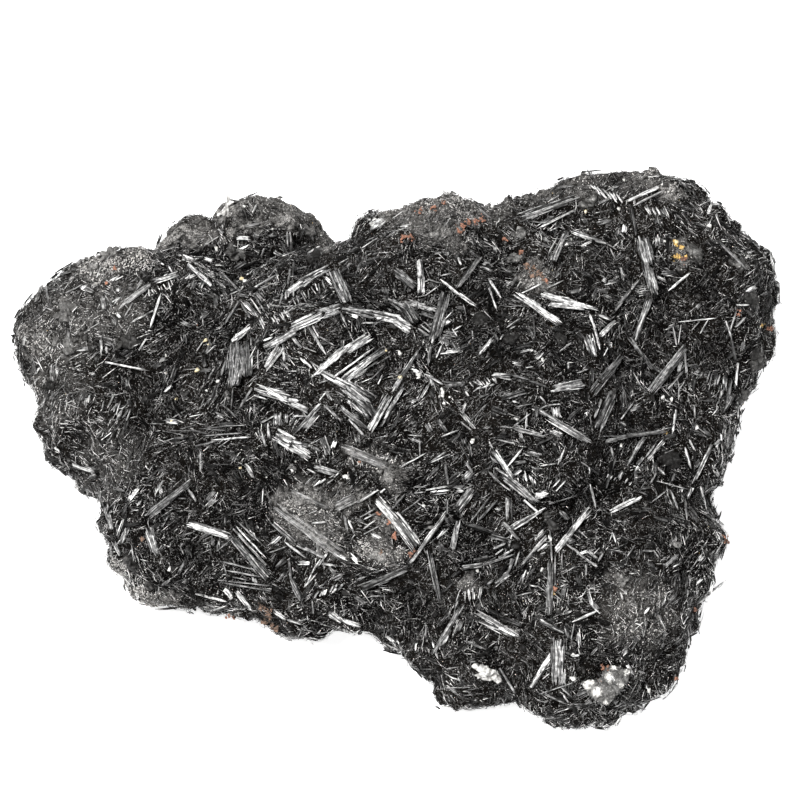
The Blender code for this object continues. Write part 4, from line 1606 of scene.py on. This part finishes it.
@dataclass
class Felt:
    """A layer of small crystals that lie on the groundmass or rear up from it.

    Each is a bundle of so many laths side by side. Tones are drawn from four bands, from black to white,
    in the shares given. A crystal whose ends stand further than the reach from the surface is a stump.
    """

    name: str
    number: int
    lengths: Size
    widths: Size
    heights: Size
    shares: Sequence[float]
    seed: int
    habits: Sequence[Habit] = (Habit.NEEDLE,)
    flatness: float = 0.8
    tilt: float = 0.2
    stray: float = 1.0
    laths: int = 1
    reach: float = 0.0
    ground: Ground = Ground.OPEN
    bands: Sequence[Size] = ((0.0, 0.006), (0.02, 0.09), (0.16, 0.4), (0.6, 1.0))
    shortest: float = 0.6
    stump: float = 0.45
    spacing: float = 0.9
    roll: float = 0.35
    slip: float = 0.22
    unevenness: float = 0.5

    def build(self, bed: Bed, material: Material) -> Piece:
        """Makes the layer as one mesh.

        Args:
            bed: what it lies on.
            material: its finish.

        Returns:
            The object.
        """
        dice = np.random.default_rng(RANDOM_SEED + self.seed)
        places, normals = bed.skin.spread(self.number, dice)
        facing = normals @ bed.skin.eye.toward
        if self.ground is Ground.DUST:
            wanted = (dice.random(self.number) < bed.dust.crumbs(places)) & (facing > 0)
        elif self.ground is Ground.HIDDEN:
            wanted = facing < HIDDEN_FACING
        else:
            wanted = dice.random(self.number) > bed.dust.cover(places)
        places, normals = places[wanted], normals[wanted]
        open_ground = ~bed.clearing.covers(places, normals)
        places, normals = places[open_ground], normals[open_ground]
        number = len(places)
        directions, loose, gains_with_painted_light_and_shade = bed.grain.at(places)
        turn = (dice.normal(0, self.stray, number) * loose)[:, None]
        flat = level(directions * np.cos(turn) + np.cross(normals, directions) * np.sin(turn), normals)
        tilt = np.abs(dice.normal(0, self.tilt, number))[:, None]
        axes = flat * np.cos(tilt) + normals * np.sin(tilt)
        lengths = dice.uniform(*self.lengths, number) * dice.uniform(self.shortest, 1.0, number)
        widths = dice.uniform(*self.widths, number)
        centres = places + normals * dice.uniform(*self.heights, number)[:, None]
        if self.reach:
            half = axes * lengths[:, None] / 2
            close = np.maximum(bed.skin.gaps(centres + half), bed.skin.gaps(centres - half)) < self.reach
            lengths = np.where(close, lengths, lengths * self.stump)
        low, high = np.array(self.bands).T
        band = dice.choice(len(self.bands), number, p=self.shares)
        # The gains carry the sheaves' painted light and shade into the needles' random tones.
        tones = (low[band] + (high - low)[band] * dice.random(number)) * gains_with_painted_light_and_shade
        which = dice.integers(0, len(self.habits), number)
        sides = np.cross(normals, flat)
        heap = MeshBin()
        for lath in range(self.laths):
            slip, shrink, rise, streak = np.zeros(number), np.ones(number), np.zeros(number), np.ones(number)
            if self.laths > 1:
                slip = dice.uniform(-self.slip, self.slip, number) * lengths
                shrink = dice.uniform(self.shortest, 1.0, number)
                rise = dice.normal(0, 0.05 * MM, number)
                streak = dice.lognormal(-0.05, self.unevenness, number)
            shift = (lath - (self.laths - 1) / 2) * widths * self.spacing
            roll = dice.normal(0, self.roll, number)[:, None]
            outs = level(normals * np.cos(roll) + sides * np.sin(roll), axes)
            feet = centres + sides * shift[:, None] + axes * (slip - lengths * shrink / 2)[:, None]
            feet += normals * rise[:, None]
            for kind, habit in enumerate(self.habits):
                rows = (feet, axes, outs, lengths * shrink, widths, widths * self.flatness, tones * streak)
                heap.add_print(Print(Stamp.lath(habit), *rows).keep(which == kind), dice)
        return heap.build(self.name, material, bed.dust)


@dataclass
class Strand:
    """One lath of a blade.

    It runs from one share of the blade's line to another. Its offsets are across the blade, at its foot
    and its tip, and its height is above the line.
    """

    start: float
    end: float
    offset: float
    end_offset: float
    height: float
    width: float
    thickness: float
    roll: float
    tone: float


@dataclass
class Run:
    """The line that a blade follows over the surface, and the directions along, across and out of it."""

    points: Array
    out: Array
    axis: Array = field(init=False)
    side: Array = field(init=False)
    length: float = field(init=False)

    def __post_init__(self) -> None:
        """Works out the directions."""
        reach = self.points[-1] - self.points[0]
        self.length = float(np.linalg.norm(reach))
        self.axis = unit(reach)
        self.side = unit(np.cross(self.out, self.axis))
        self.out = np.cross(self.axis, self.side)

    def lay(self, strand: Strand, stamp: Stamp, heap: MeshBin, dice: Dice) -> None:
        """Adds a strand that follows the line.

        Args:
            strand: the strand.
            stamp: its shape.
            heap: the mesh bin.
            dice: gives it its own stretch of the grain pattern.
        """
        shape = stamp.points
        shares = strand.start + (strand.end - strand.start) * shape[:, 2]
        stations = np.linspace(0, 1, len(self.points))
        middle = np.stack([np.interp(shares, stations, self.points[:, axis]) for axis in range(3)], 1)
        u = shape[:, 0] * strand.width
        v = shape[:, 1] * strand.thickness
        aside = strand.offset + (strand.end_offset - strand.offset) * shape[:, 2]
        aside += u * math.cos(strand.roll) - v * math.sin(strand.roll)
        rise = strand.height + u * math.sin(strand.roll) + v * math.cos(strand.roll)
        points = middle + self.side * aside[:, None] + self.out * rise[:, None]
        points[:, 2] = np.maximum(points[:, 2], FLOOR_GAP)
        grain = np.stack([shares * self.length / MM, u / MM], 1) + dice.uniform(0, 500, 2)
        heap.add(points, stamp.faces, np.full(len(shape), strand.tone), grain)


@dataclass
class Growth:
    """A large blade while it is laid: its line, its width in metres, its mesh bin and its chances."""

    blade: Lath
    run: Run
    width: float
    heap: MeshBin
    dice: Dice

    def lay(self, strand: Strand, stamp: Stamp) -> None:
        """Adds one lath of the blade."""
        self.run.lay(strand, stamp, self.heap, self.dice)

    def either_way(self, stamp: Stamp) -> Stamp:
        """A lath's shape, or as often the same shape with its ends changed over."""
        return stamp if self.dice.random() < 0.5 else stamp.turned()


@dataclass
class LargeBlades:
    """The large blades: laths side by side over a dark one, with uneven ends and loose splinters."""

    blades: Sequence[Lath]
    lath_width: float = 0.21 * MM
    clearance: float = 0.5 * MM
    slender: float = 3.0
    dome: float = 0.12
    steepest: float = 1.4
    steps: int = 7
    under_tone: float = 0.12
    broken_share: float = 0.3
    dull_share: float = 0.16
    dull_tone: float = 0.15
    unevenness: float = 0.34
    slender_unevenness: float = 0.25

    def path(self, blade: Lath, skin: Skin, dice: Dice) -> Optional[Run]:
        """The line that a blade follows: straight in the picture, and just clear of the surface.

        Args:
            blade: the blade.
            skin: the surface that it lies on.
            dice: lifts one blade a little more than another.

        Returns:
            The line, or None where no part of it is over the surface.
        """
        eye = skin.eye
        shares = np.linspace(0, 1, self.steps)
        right, down = blade.x1 - blade.x0, blade.y1 - blade.y0
        pixels = [(blade.x0 + right * share, blade.y0 + down * share) for share in shares]
        hits = [(share, skin.under(x, y)) for share, (x, y) in zip(shares, pixels)]
        known = [(share, *hit) for share, hit in hits if hit is not None]
        if not known:
            return None
        found = np.array([share for share, _, _ in known])
        depths = np.array([eye.depth(place) for _, place, _ in known])
        bend = np.polyfit(found, depths, min(2 if len(found) > 4 else 1, len(found) - 1))
        reach = math.hypot(right, down) * eye.pixel
        if len(bend) == 3:
            bend[0] = np.clip(bend[0] * 0.7, -0.5 * reach, 0.5 * reach)
        slope = sum(bend[:-1])
        bend[-2] += np.clip(slope, -self.steepest * reach, self.steepest * reach) - slope
        lift = np.quantile(depths - np.polyval(bend, found), 0.75) + self.clearance * dice.uniform(0.8, 1.5)
        depths = np.polyval(bend, shares) + lift
        points = np.array([eye.at_depth(x, y, depth) for (x, y), depth in zip(pixels, depths)])
        normal = unit(np.sum([normal for _, _, normal in known], 0))
        return Run(points, unit(normal * 0.6 + eye.toward * 0.6))

    def build(self, bed: Bed, material: Material) -> Piece:
        """Makes every blade, in one mesh.

        Args:
            bed: what they lie on.
            material: their finish.

        Returns:
            The object.
        """
        broad = (Habit.BLUNT, Habit.SPLIT, Habit.LEAF, Habit.SPEAR, Habit.SHARD)
        laths = [Stamp.lath(habit) for habit in broad]
        spears = [Stamp.lath(habit) for habit in (Habit.SPEAR, Habit.LEAF)]
        heap = MeshBin()
        for blade in self.blades:
            place = [round(number) for number in (blade.x0, blade.y0, blade.x1, blade.y1)]
            dice = np.random.default_rng((RANDOM_SEED, *place))
            run = self.path(blade, bed.skin, dice)
            if run is None:
                continue
            growth = Growth(blade, run, blade.width * bed.skin.eye.pixel, heap, dice)
            if blade.width <= self.slender:
                self.add_slender(growth, spears)
            else:
                self.add_bundle(growth, laths)
                self.add_splinters(growth, spears)
        return heap.build("large_blades", material, bed.dust)

    def add_slender(self, growth: Growth, stamps: Sequence[Stamp]) -> None:
        """Lays a slender blade: one lath, or two that overlap.

        Args:
            growth: the blade.
            stamps: the laths' shapes.
        """
        blade, width, dice = growth.blade, growth.width, growth.dice
        for number in range(1 + (blade.width > 2)):
            stamp = growth.either_way(stamps[dice.integers(len(stamps))])
            offset = dice.normal(0, 0.12) * width * number
            strand = Strand(
                start=dice.uniform(0, 0.25) * number, end=1 - dice.uniform(0, 0.3) * number,
                offset=offset, end_offset=offset * dice.uniform(-1, 1),
                height=dice.uniform(0, 0.06) * MM,
                width=width * dice.uniform(0.75, 1.0) * (1 - 0.35 * number),
                thickness=width * 0.7, roll=dice.normal(0, 0.3),
                tone=blade.tone.value * dice.lognormal(0.0, self.slender_unevenness),
            )
            growth.lay(strand, stamp)

    def add_bundle(self, growth: Growth, stamps: Sequence[Stamp]) -> None:
        """Lays a broad blade's laths side by side over a dark one.

        Args:
            growth: the blade.
            stamps: the laths' shapes.
        """
        blade, width, dice, length = growth.blade, growth.width, growth.dice, growth.run.length
        under = Strand(
            start=0.08, end=0.9, offset=0, end_offset=0, height=-0.22 * MM,
            width=width * (1 + 0.5 * blade.flare) * 0.95, thickness=0.2 * MM, roll=0,
            tone=blade.tone.value * self.under_tone,
        )
        growth.lay(under, stamps[0])
        tracks = max(2, round(width / self.lath_width))
        ragged = min(0.24, 0.8 * width / length + 0.04)
        for track in range(tracks):
            spot = (track + 0.5) / tracks - 0.5
            cuts = [dice.uniform(0, ragged), 1 - dice.uniform(0, ragged)]
            if dice.random() < self.broken_share and length > 2.5 * MM:
                cuts.insert(1, dice.uniform(0.3, 0.7))
            for start, end in zip(cuts, cuts[1:]):
                across = spot * width + dice.normal(0, 0.03) * width
                stamp = stamps[dice.integers(len(stamps))]
                dull = self.dull_tone if dice.random() < self.dull_share else 1.0
                strand = Strand(
                    start=max(start - 0.02, 0), end=min(end + 0.02, 1),
                    offset=across * (1 + blade.flare * start), end_offset=across * (1 + blade.flare * end),
                    height=self.dome * width * (1 - 4 * spot * spot) + dice.normal(0, 0.035 * MM),
                    width=width / tracks * dice.uniform(1.1, 1.6) * (1 + blade.flare * (start + end) / 2),
                    thickness=dice.uniform(0.14, 0.24) * MM,
                    roll=-spot * 0.6 + dice.normal(0, 0.15),
                    tone=blade.tone.value * dice.lognormal(0.0, self.unevenness) * dull,
                )
                growth.lay(strand, growth.either_way(stamp))

    def add_splinters(self, growth: Growth, stamps: Sequence[Stamp]) -> None:
        """Scatters fine splinters on a blade, each a little askew.

        Args:
            growth: the blade.
            stamps: the splinters' shapes.
        """
        blade, width, dice = growth.blade, growth.width, growth.dice
        for _ in range(round(width / self.lath_width * 1.2 + growth.run.length / (2.5 * MM))):
            start = dice.uniform(0, 0.8)
            offset = dice.choice((-0.48, 0.48, dice.uniform(-0.5, 0.5))) * width * (1 + blade.flare * start)
            strand = Strand(
                start=start, end=min(start + dice.uniform(0.12, 0.6), 1),
                offset=offset, end_offset=offset + dice.normal(0, 0.08) * width,
                height=self.dome * width + dice.uniform(0.02, 0.16) * MM, width=dice.uniform(0.07, 0.15) * MM,
                thickness=dice.uniform(0.07, 0.13) * MM, roll=dice.normal(0, 0.3),
                tone=min(blade.tone.value * dice.choice((0.08, 0.5, 1.0, 1.8)), 1.0),
            )
            growth.lay(strand, stamps[dice.integers(len(stamps))])


@dataclass
class Chips:
    """Flat chips that lie on the lump: those placed one by one, and others strewn over it."""

    name: str
    plates: Sequence[Plate]
    strewn: int
    lengths: Size = mm(0.5, 1.7)
    tones: Size = (0.002, 0.03)
    thickness: float = 0.28 * MM
    clearance: float = 0.28 * MM
    kinds: int = 6
    corners: int = 5
    plate_corners: int = 8
    seed: int = 21

    def build(self, bed: Bed, material: Material) -> Piece:
        """Makes the chips in one mesh.

        Args:
            bed: what they lie on.
            material: their finish.

        Returns:
            The object.
        """
        dice = np.random.default_rng(RANDOM_SEED + self.seed)
        heap = MeshBin()
        for plate in self.plates:
            self.add_plate(heap, plate, bed.skin, dice)
        places, normals = bed.skin.spread(self.strewn, dice)
        open_ground = ~bed.clearing.covers(places, normals)
        places, normals = places[open_ground], normals[open_ground]
        number = len(places)
        axes = level(dice.normal(size=(number, 3)), normals)
        outs = level(normals + dice.normal(0, 0.22, (number, 3)), axes)
        lengths = dice.uniform(*self.lengths, number)
        widths = lengths * dice.uniform(0.35, 0.8, number)
        low, high = self.tones
        tones = low + (high - low) * dice.random(number) ** 2
        feet = places + normals * dice.uniform(0, 0.4 * MM, number)[:, None] - axes * lengths[:, None] / 2
        which = dice.integers(0, self.kinds, number)
        rows = (feet, axes, outs, lengths, widths, np.full(number, self.thickness), tones)
        for kind in range(self.kinds):
            heap.add_print(Print(Stamp.chip(self.corners, dice), *rows).keep(which == kind), dice)
        return heap.build(self.name, material, bed.dust)

    def add_plate(self, heap: MeshBin, plate: Plate, skin: Skin, dice: Dice) -> None:
        """Lays a large chip and the smaller ones that it breaks into.

        Args:
            heap: the mesh bin.
            plate: the chip.
            skin: the surface that it lies on.
            dice: shapes it.
        """
        hit = skin.patch(plate.x, plate.y, plate.width / 3)
        if hit is None:
            return
        place, normal = hit
        eye = skin.eye
        along = level(eye.direction(plate.direction), normal)
        across = np.cross(normal, along)
        length = plate.length * eye.pixel / max(math.hypot(along @ eye.right, along @ eye.up), 0.5)
        width = plate.width * eye.pixel / max(math.hypot(across @ eye.right, across @ eye.up), 0.5)
        pieces = 3 + round(plate.length * plate.width / 40)
        shares = np.array([0.75, *dice.uniform(0.25, 0.55, pieces)])
        number = len(shares)
        spots = dice.uniform(-0.32, 0.32, (number, 2)) * (length, width)
        spots[0] = 0
        lean = dice.normal(0, 0.2, (number, 3))
        axes = unit(along + lean * (shares < 1)[:, None] * 3)
        outs = level(normal + dice.normal(0, 0.16, (number, 3)), axes)
        raised = (self.clearance + dice.uniform(0, 0.12, number) * MM)[:, None]
        middles = place + along * spots[:, :1] + across * spots[:, 1:] + normal * raised
        tones = plate.tone * dice.lognormal(0, 0.45, number)
        feet = middles - axes * (length * shares)[:, None] / 2
        rows = (feet, axes, outs, length * shares, width * shares, np.full(number, self.thickness), tones)
        for index in range(number):
            chosen = np.arange(number) == index
            heap.add_print(Print(Stamp.chip(self.plate_corners, dice), *rows).keep(chosen), dice)


@dataclass
class Grains:
    """Small grains of other minerals, sitting in the felt."""

    name: str
    finish: GrainFinish
    seed: int
    singles: Sequence[Spot] = ()
    clusters: Sequence[Spot] = ()
    strewn: int = 0
    sizes: Size = mm(0.1, 0.22)
    cluster_sizes: Size = mm(0.1, 0.34)
    spacing: float = 0.7
    clearance: float = 0.42 * MM
    lowest: float = 1.5 * MM

    def build(self, bed: Bed) -> Piece:
        """Makes the grains in one mesh.

        Args:
            bed: what they lie on.

        Returns:
            The object.
        """
        dice = np.random.default_rng(RANDOM_SEED + self.seed)
        skin = bed.skin
        heap = MeshBin()
        for spot in self.singles:
            self.add_grain(heap, skin.under(spot.x, spot.y), spot.size * skin.eye.pixel, 11, dice)
        for spot in self.clusters:
            for _ in range(round(spot.size * 6)):
                x, y = dice.normal((spot.x, spot.y), self.spacing * math.sqrt(spot.size))
                self.add_grain(heap, skin.under(x, y), dice.uniform(*self.cluster_sizes), 8, dice)
        places, normals = skin.spread(self.strewn, dice)
        wanted = dice.random(self.strewn) < 0.45 + bed.dust.grey(places)
        for place, normal in zip(places[wanted], normals[wanted]):
            self.add_grain(heap, (place, normal), dice.uniform(*self.sizes), 6, dice)
        return heap.build(self.name, self.finish.material(), bed.dust)

    def add_grain(self, heap: MeshBin, hit: Hit, radius: float, corners: int, dice: Dice) -> None:
        """Adds one angular grain.

        Args:
            heap: the mesh bin.
            hit: the place and the normal that it sits on, or None past the outline.
            radius: its radius.
            corners: how many points shape it.
            dice: shapes it.
        """
        if hit is None or hit[0][2] < self.lowest:
            return
        stamp = Stamp.grain(corners, dice)
        middle = hit[0] + hit[1] * self.clearance
        heap.add(stamp.points * radius + middle, stamp.faces, np.ones(len(stamp.points)), stamp.points[:, :2])


@dataclass
class Fragment:
    """A rough fragment of pale mineral, lodged in the lower edge."""

    corners: Sequence[Size] = FRAGMENT_CORNERS
    whites: Sequence[Spot] = FRAGMENT_WHITES
    clear_tone: float = 0.09
    white_tone: float = 0.65
    thickness: float = 1.1 * MM
    clearance: float = 0.7 * MM
    cuts: int = 7
    roughness: float = 0.45 * MM
    grit: float = 0.15 * MM
    seed: int = 31

    def build(self, bed: Bed) -> Piece:
        """Makes the fragment.

        Args:
            bed: what it lies on.

        Returns:
            The object.
        """
        eye = bed.skin.eye
        hits = [bed.skin.patch(*corner, 3) for corner in self.corners]
        depths = [float(eye.depth(hit[0])) for hit in hits if hit is not None]
        depth = (max(depths) + sum(depths) / len(depths)) / 2 + self.clearance
        work = bmesh.new()
        ring = [work.verts.new(eye.at_depth(*corner, depth)) for corner in self.corners]
        face = work.faces.new(ring)
        raised = bmesh.ops.extrude_face_region(work, geom=[face])["geom"]
        lower = [item for item in raised if isinstance(item, bmesh.types.BMVert)]
        bmesh.ops.translate(work, verts=lower, vec=Vector(-eye.toward * self.thickness))
        bmesh.ops.triangulate(work, faces=work.faces[:])
        bmesh.ops.subdivide_edges(work, edges=work.edges[:], cuts=self.cuts, use_grid_fill=True)
        bmesh.ops.recalc_face_normals(work, faces=work.faces[:])
        noise.seed_set(self.seed)
        for vertex in work.verts:
            vertex.co += noise.noise_vector(vertex.co / self.grit) * self.roughness
        mesh = bpy.data.meshes.new("pale_fragment")
        bmesh.ops.triangulate(work, faces=work.faces[:])
        work.to_mesh(mesh)
        work.free()
        seen = eye.pixels(np.array([vertex.co for vertex in mesh.vertices]))
        white = np.zeros(len(seen))
        for spot in self.whites:
            white = np.maximum(white, np.clip(2 * (1 - away(seen, spot) / spot.size), 0, 1))
        set_numbers(mesh, "tone", self.clear_tone + (self.white_tone - self.clear_tone) * white)
        mesh.materials.append(ChipFinish("pale fragment").material())
        return new_object("pale_fragment", mesh)


@dataclass
class Studio:
    """A plain pale floor and soft lights."""

    floor_size: float = 6.0
    floor_colour: Colour = (0.6, 0.6, 0.6)
    floor_glow: float = 0.92
    sky: float = 0.05

    def build(self) -> None:
        """Makes the floor, the lights and the world."""
        work = bmesh.new()
        bmesh.ops.create_grid(work, x_segments=1, y_segments=1, size=self.floor_size / 2)
        mesh = bpy.data.meshes.new("floor")
        work.to_mesh(mesh)
        work.free()
        sheet = NodeSheet("floor")
        mesh.materials.append(sheet.dress(
            Base_Color=(*self.floor_colour, 1),
            Roughness=0.8,
            Emission_Color=(1, 1, 1, 1),
            Emission_Strength=self.floor_glow,
        ))
        floor = new_object("floor", mesh)
        self.add_sun("key", (-0.3, -0.3, 1.0), 5.7, 16)
        self.add_sun("fill", (0.8, -0.3, 0.9), 0.9, 40)
        self.add_sun("rim", (-0.3, 0.9, 0.8), 0.8, 30)
        bpy.context.scene.world = self.surroundings()
        bpy.context.scene.view_settings.view_transform = "Standard"

    def surroundings(self) -> bpy.types.World:
        """Makes a world that is seen as white and lights the specimen only a little.

        Returns:
            The world.
        """
        world = bpy.data.worlds.new("world")
        world.use_nodes = True
        tree = world.node_tree
        path = tree.nodes.new("ShaderNodeLightPath")
        strength = tree.nodes.new("ShaderNodeMapRange")
        strength.inputs["To Min"].default_value = self.sky
        tree.links.new(path.outputs["Is Camera Ray"], strength.inputs["Value"])
        tree.links.new(strength.outputs["Result"], tree.nodes["Background"].inputs["Strength"])
        tree.nodes["Background"].inputs["Color"].default_value = (1, 1, 1, 1)
        return world

    def add_sun(self, name: str, source: Size, strength: float, softness: float) -> None:
        """Adds a soft light from far off.

        Args:
            name: its name.
            source: the direction that it comes from.
            strength: its strength.
            softness: its width in the sky, in degrees.
        """
        data = bpy.data.lights.new(name, "SUN")
        data.energy = strength
        data.angle = math.radians(softness)
        light = new_object(name, data)
        light.rotation_mode = "QUATERNION"
        light.rotation_quaternion = Vector(source).to_track_quat("Z", "Y")


def middle_depth(eye: Eye) -> float:
    """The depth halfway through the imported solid.

    Args:
        eye: the view.

    Returns:
        The distance from the origin towards the eye.
    """
    corners = np.array([vertex.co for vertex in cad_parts[NODE].data.vertices])
    depths = eye.depth(corners)
    return (depths.min() + depths.max()) / 2


def small_layers() -> list[Felt]:
    """The layers of small needles.

    Returns:
        The layers, from the lowest to the highest.
    """
    return [
        Felt(
            name="needle_felt_deep", number=40000, seed=1, lengths=mm(0.6, 1.8),
            widths=mm(0.11, 0.21), heights=mm(-0.1, 0.25), shares=(0.6, 0.29, 0.09, 0.02),
        ),
        Felt(
            name="needle_felt_top", number=43000, seed=2, lengths=mm(0.6, 2.5),
            widths=mm(0.08, 0.14), heights=mm(0.1, 0.5), shares=(0.33, 0.28, 0.25, 0.14),
            tilt=0.15, stray=0.8,
        ),
        Felt(
            name="needle_crumbs", number=46000, seed=4, lengths=mm(0.14, 0.36),
            widths=mm(0.1, 0.17), heights=mm(0.05, 0.5), shares=(0.3, 0.24, 0.2, 0.26),
            tilt=0.6, stray=2.0,
        ),
    ]


def dust_layer() -> Felt:
    """The crumbs of dust on the dusty patches.

    Returns:
        The layer.
    """
    return Felt(
        name="dust_crumbs", number=560000, seed=6, lengths=mm(0.12, 0.34),
        widths=mm(0.12, 0.26), heights=mm(-0.02, 0.22), shares=(0.3, 0.35, 0.26, 0.09),
        habits=(Habit.CRUMB,), tilt=0.6, stray=2.0, ground=Ground.DUST,
        bands=((0.0, 0.06), (0.1, 0.26), (0.26, 0.45), (0.7, 1.0)),
    )


def slender_layers() -> list[Felt]:
    """The longer crystals that lie on the felt.

    Returns:
        The layers.
    """
    return [
        Felt(
            name="long_needles", number=6000, seed=5, lengths=mm(1.2, 4.0),
            widths=mm(0.1, 0.18), heights=mm(0.25, 0.6), shares=(0.22, 0.4, 0.27, 0.11),
            habits=(Habit.NEEDLE, Habit.NEEDLE, Habit.CURVED, Habit.SPEAR), tilt=0.08, stray=1.4,
            reach=0.9 * MM,
        ),
        Felt(
            name="medium_blades", number=2900, seed=3, lengths=mm(1.1, 3.8),
            widths=mm(0.12, 0.27), heights=mm(0.25, 0.65), shares=(0.32, 0.45, 0.19, 0.04),
            habits=(Habit.LEAF, Habit.SPEAR, Habit.SHARD), flatness=0.6, tilt=0.08, stray=0.8, laths=3,
            reach=0.9 * MM,
        ),
        Felt(
            name="hidden_blades", number=620, seed=7, lengths=mm(3.0, 8.0),
            widths=mm(0.14, 0.24), heights=mm(0.3, 0.7), shares=(0.15, 0.4, 0.33, 0.12),
            habits=(Habit.BLUNT, Habit.SPLIT, Habit.LEAF), flatness=0.6, tilt=0.05, stray=0.8, laths=5,
            reach=1.1 * MM, ground=Ground.HIDDEN,
        ),
    ]


def main() -> None:
    """Builds the pieces in order and reports each one."""
    logging.basicConfig(level=logging.INFO, format="%(name)s %(message)s")
    eye = Eye(middle_depth=middle_depth(Eye()))
    eye.build()
    Studio().build()
    dice = np.random.default_rng(RANDOM_SEED)
    placed = (*BRIGHT_BLADES, *LIGHT_BLADES, *GREY_BLADES, *DARK_BLADES)
    blades = [*placed, *(lath for row in ROWS for lath in row.laths(dice))]
    groundmass = Groundmass(eye)
    lump = groundmass.build()
    skin = Skin(lump.data, eye)
    dust = DustMap(skin)
    groundmass.dress(lump, dust)
    finish_piece(lump, Slot.FELT)
    strips = [*blades, *(plate.strip() for plate in (*PLATES, *PALE_PLATES))]
    bed = Bed(skin, Grain(skin), dust, Clearing(eye, strips))
    deep = FeltFinish("deep felt", lustre=1.4).material()
    felt = FeltFinish().material()
    for layer in small_layers():
        finish_piece(layer.build(bed, deep if layer.name == "needle_felt_deep" else felt), Slot.FELT)
    finish_piece(dust_layer().build(bed, DustFinish().material()), Slot.GRAINS)
    striated = BladeFinish().material()
    for layer in slender_layers():
        finish_piece(layer.build(bed, striated), Slot.BLADES)
    finish_piece(LargeBlades(blades).build(bed, striated), Slot.BLADES)
    finish_piece(Chips("dark_chips", PLATES, 1500).build(bed, ChipFinish().material()), Slot.FELT)
    white = GrainFinish("white chips", (0.85, 0.84, 0.81), (0.22, 0.21, 0.2), 0.5, 1500)
    finish_piece(Chips("pale_chips", PALE_PLATES, 0, seed=22).build(bed, white.material()), Slot.GRAINS)
    rust = GrainFinish("rust grains", (0.42, 0.2, 0.13), (0.2, 0.105, 0.07))
    soil = GrainFinish("soil grains", (0.29, 0.185, 0.13), (0.1, 0.07, 0.053))
    ochre = GrainFinish("ochre grains", (0.66, 0.45, 0.14), (0.42, 0.27, 0.1))
    cream = GrainFinish("cream grains", (0.8, 0.72, 0.5), (0.62, 0.5, 0.28))
    pale = GrainFinish("pale grains", (0.85, 0.84, 0.81), (0.5, 0.49, 0.46), 0.4)
    kinds = (
        Grains("rust_grains", rust, 11, clusters=RUST_CLUSTERS, strewn=50, sizes=mm(0.1, 0.2),
               clearance=0.65 * MM),
        Grains("soil_grains", soil, 15, clusters=SOIL_CLUSTERS, strewn=60, sizes=mm(0.1, 0.2)),
        Grains("ochre_grains", ochre, 12, clusters=OCHRE_CLUSTERS, strewn=50, sizes=mm(0.08, 0.16)),
        Grains("cream_grains", cream, 14, singles=CREAM_GRAINS, strewn=40, sizes=mm(0.1, 0.18)),
        Grains("pale_grains", pale, 13, singles=PALE_GRAINS, strewn=3600, sizes=mm(0.06, 0.14)),
    )
    for grains in kinds:
        finish_piece(grains.build(bed), Slot.GRAINS)
    finish_piece(Fragment().build(bed), Slot.GRAINS)


if __name__ == "__main__":
    main()
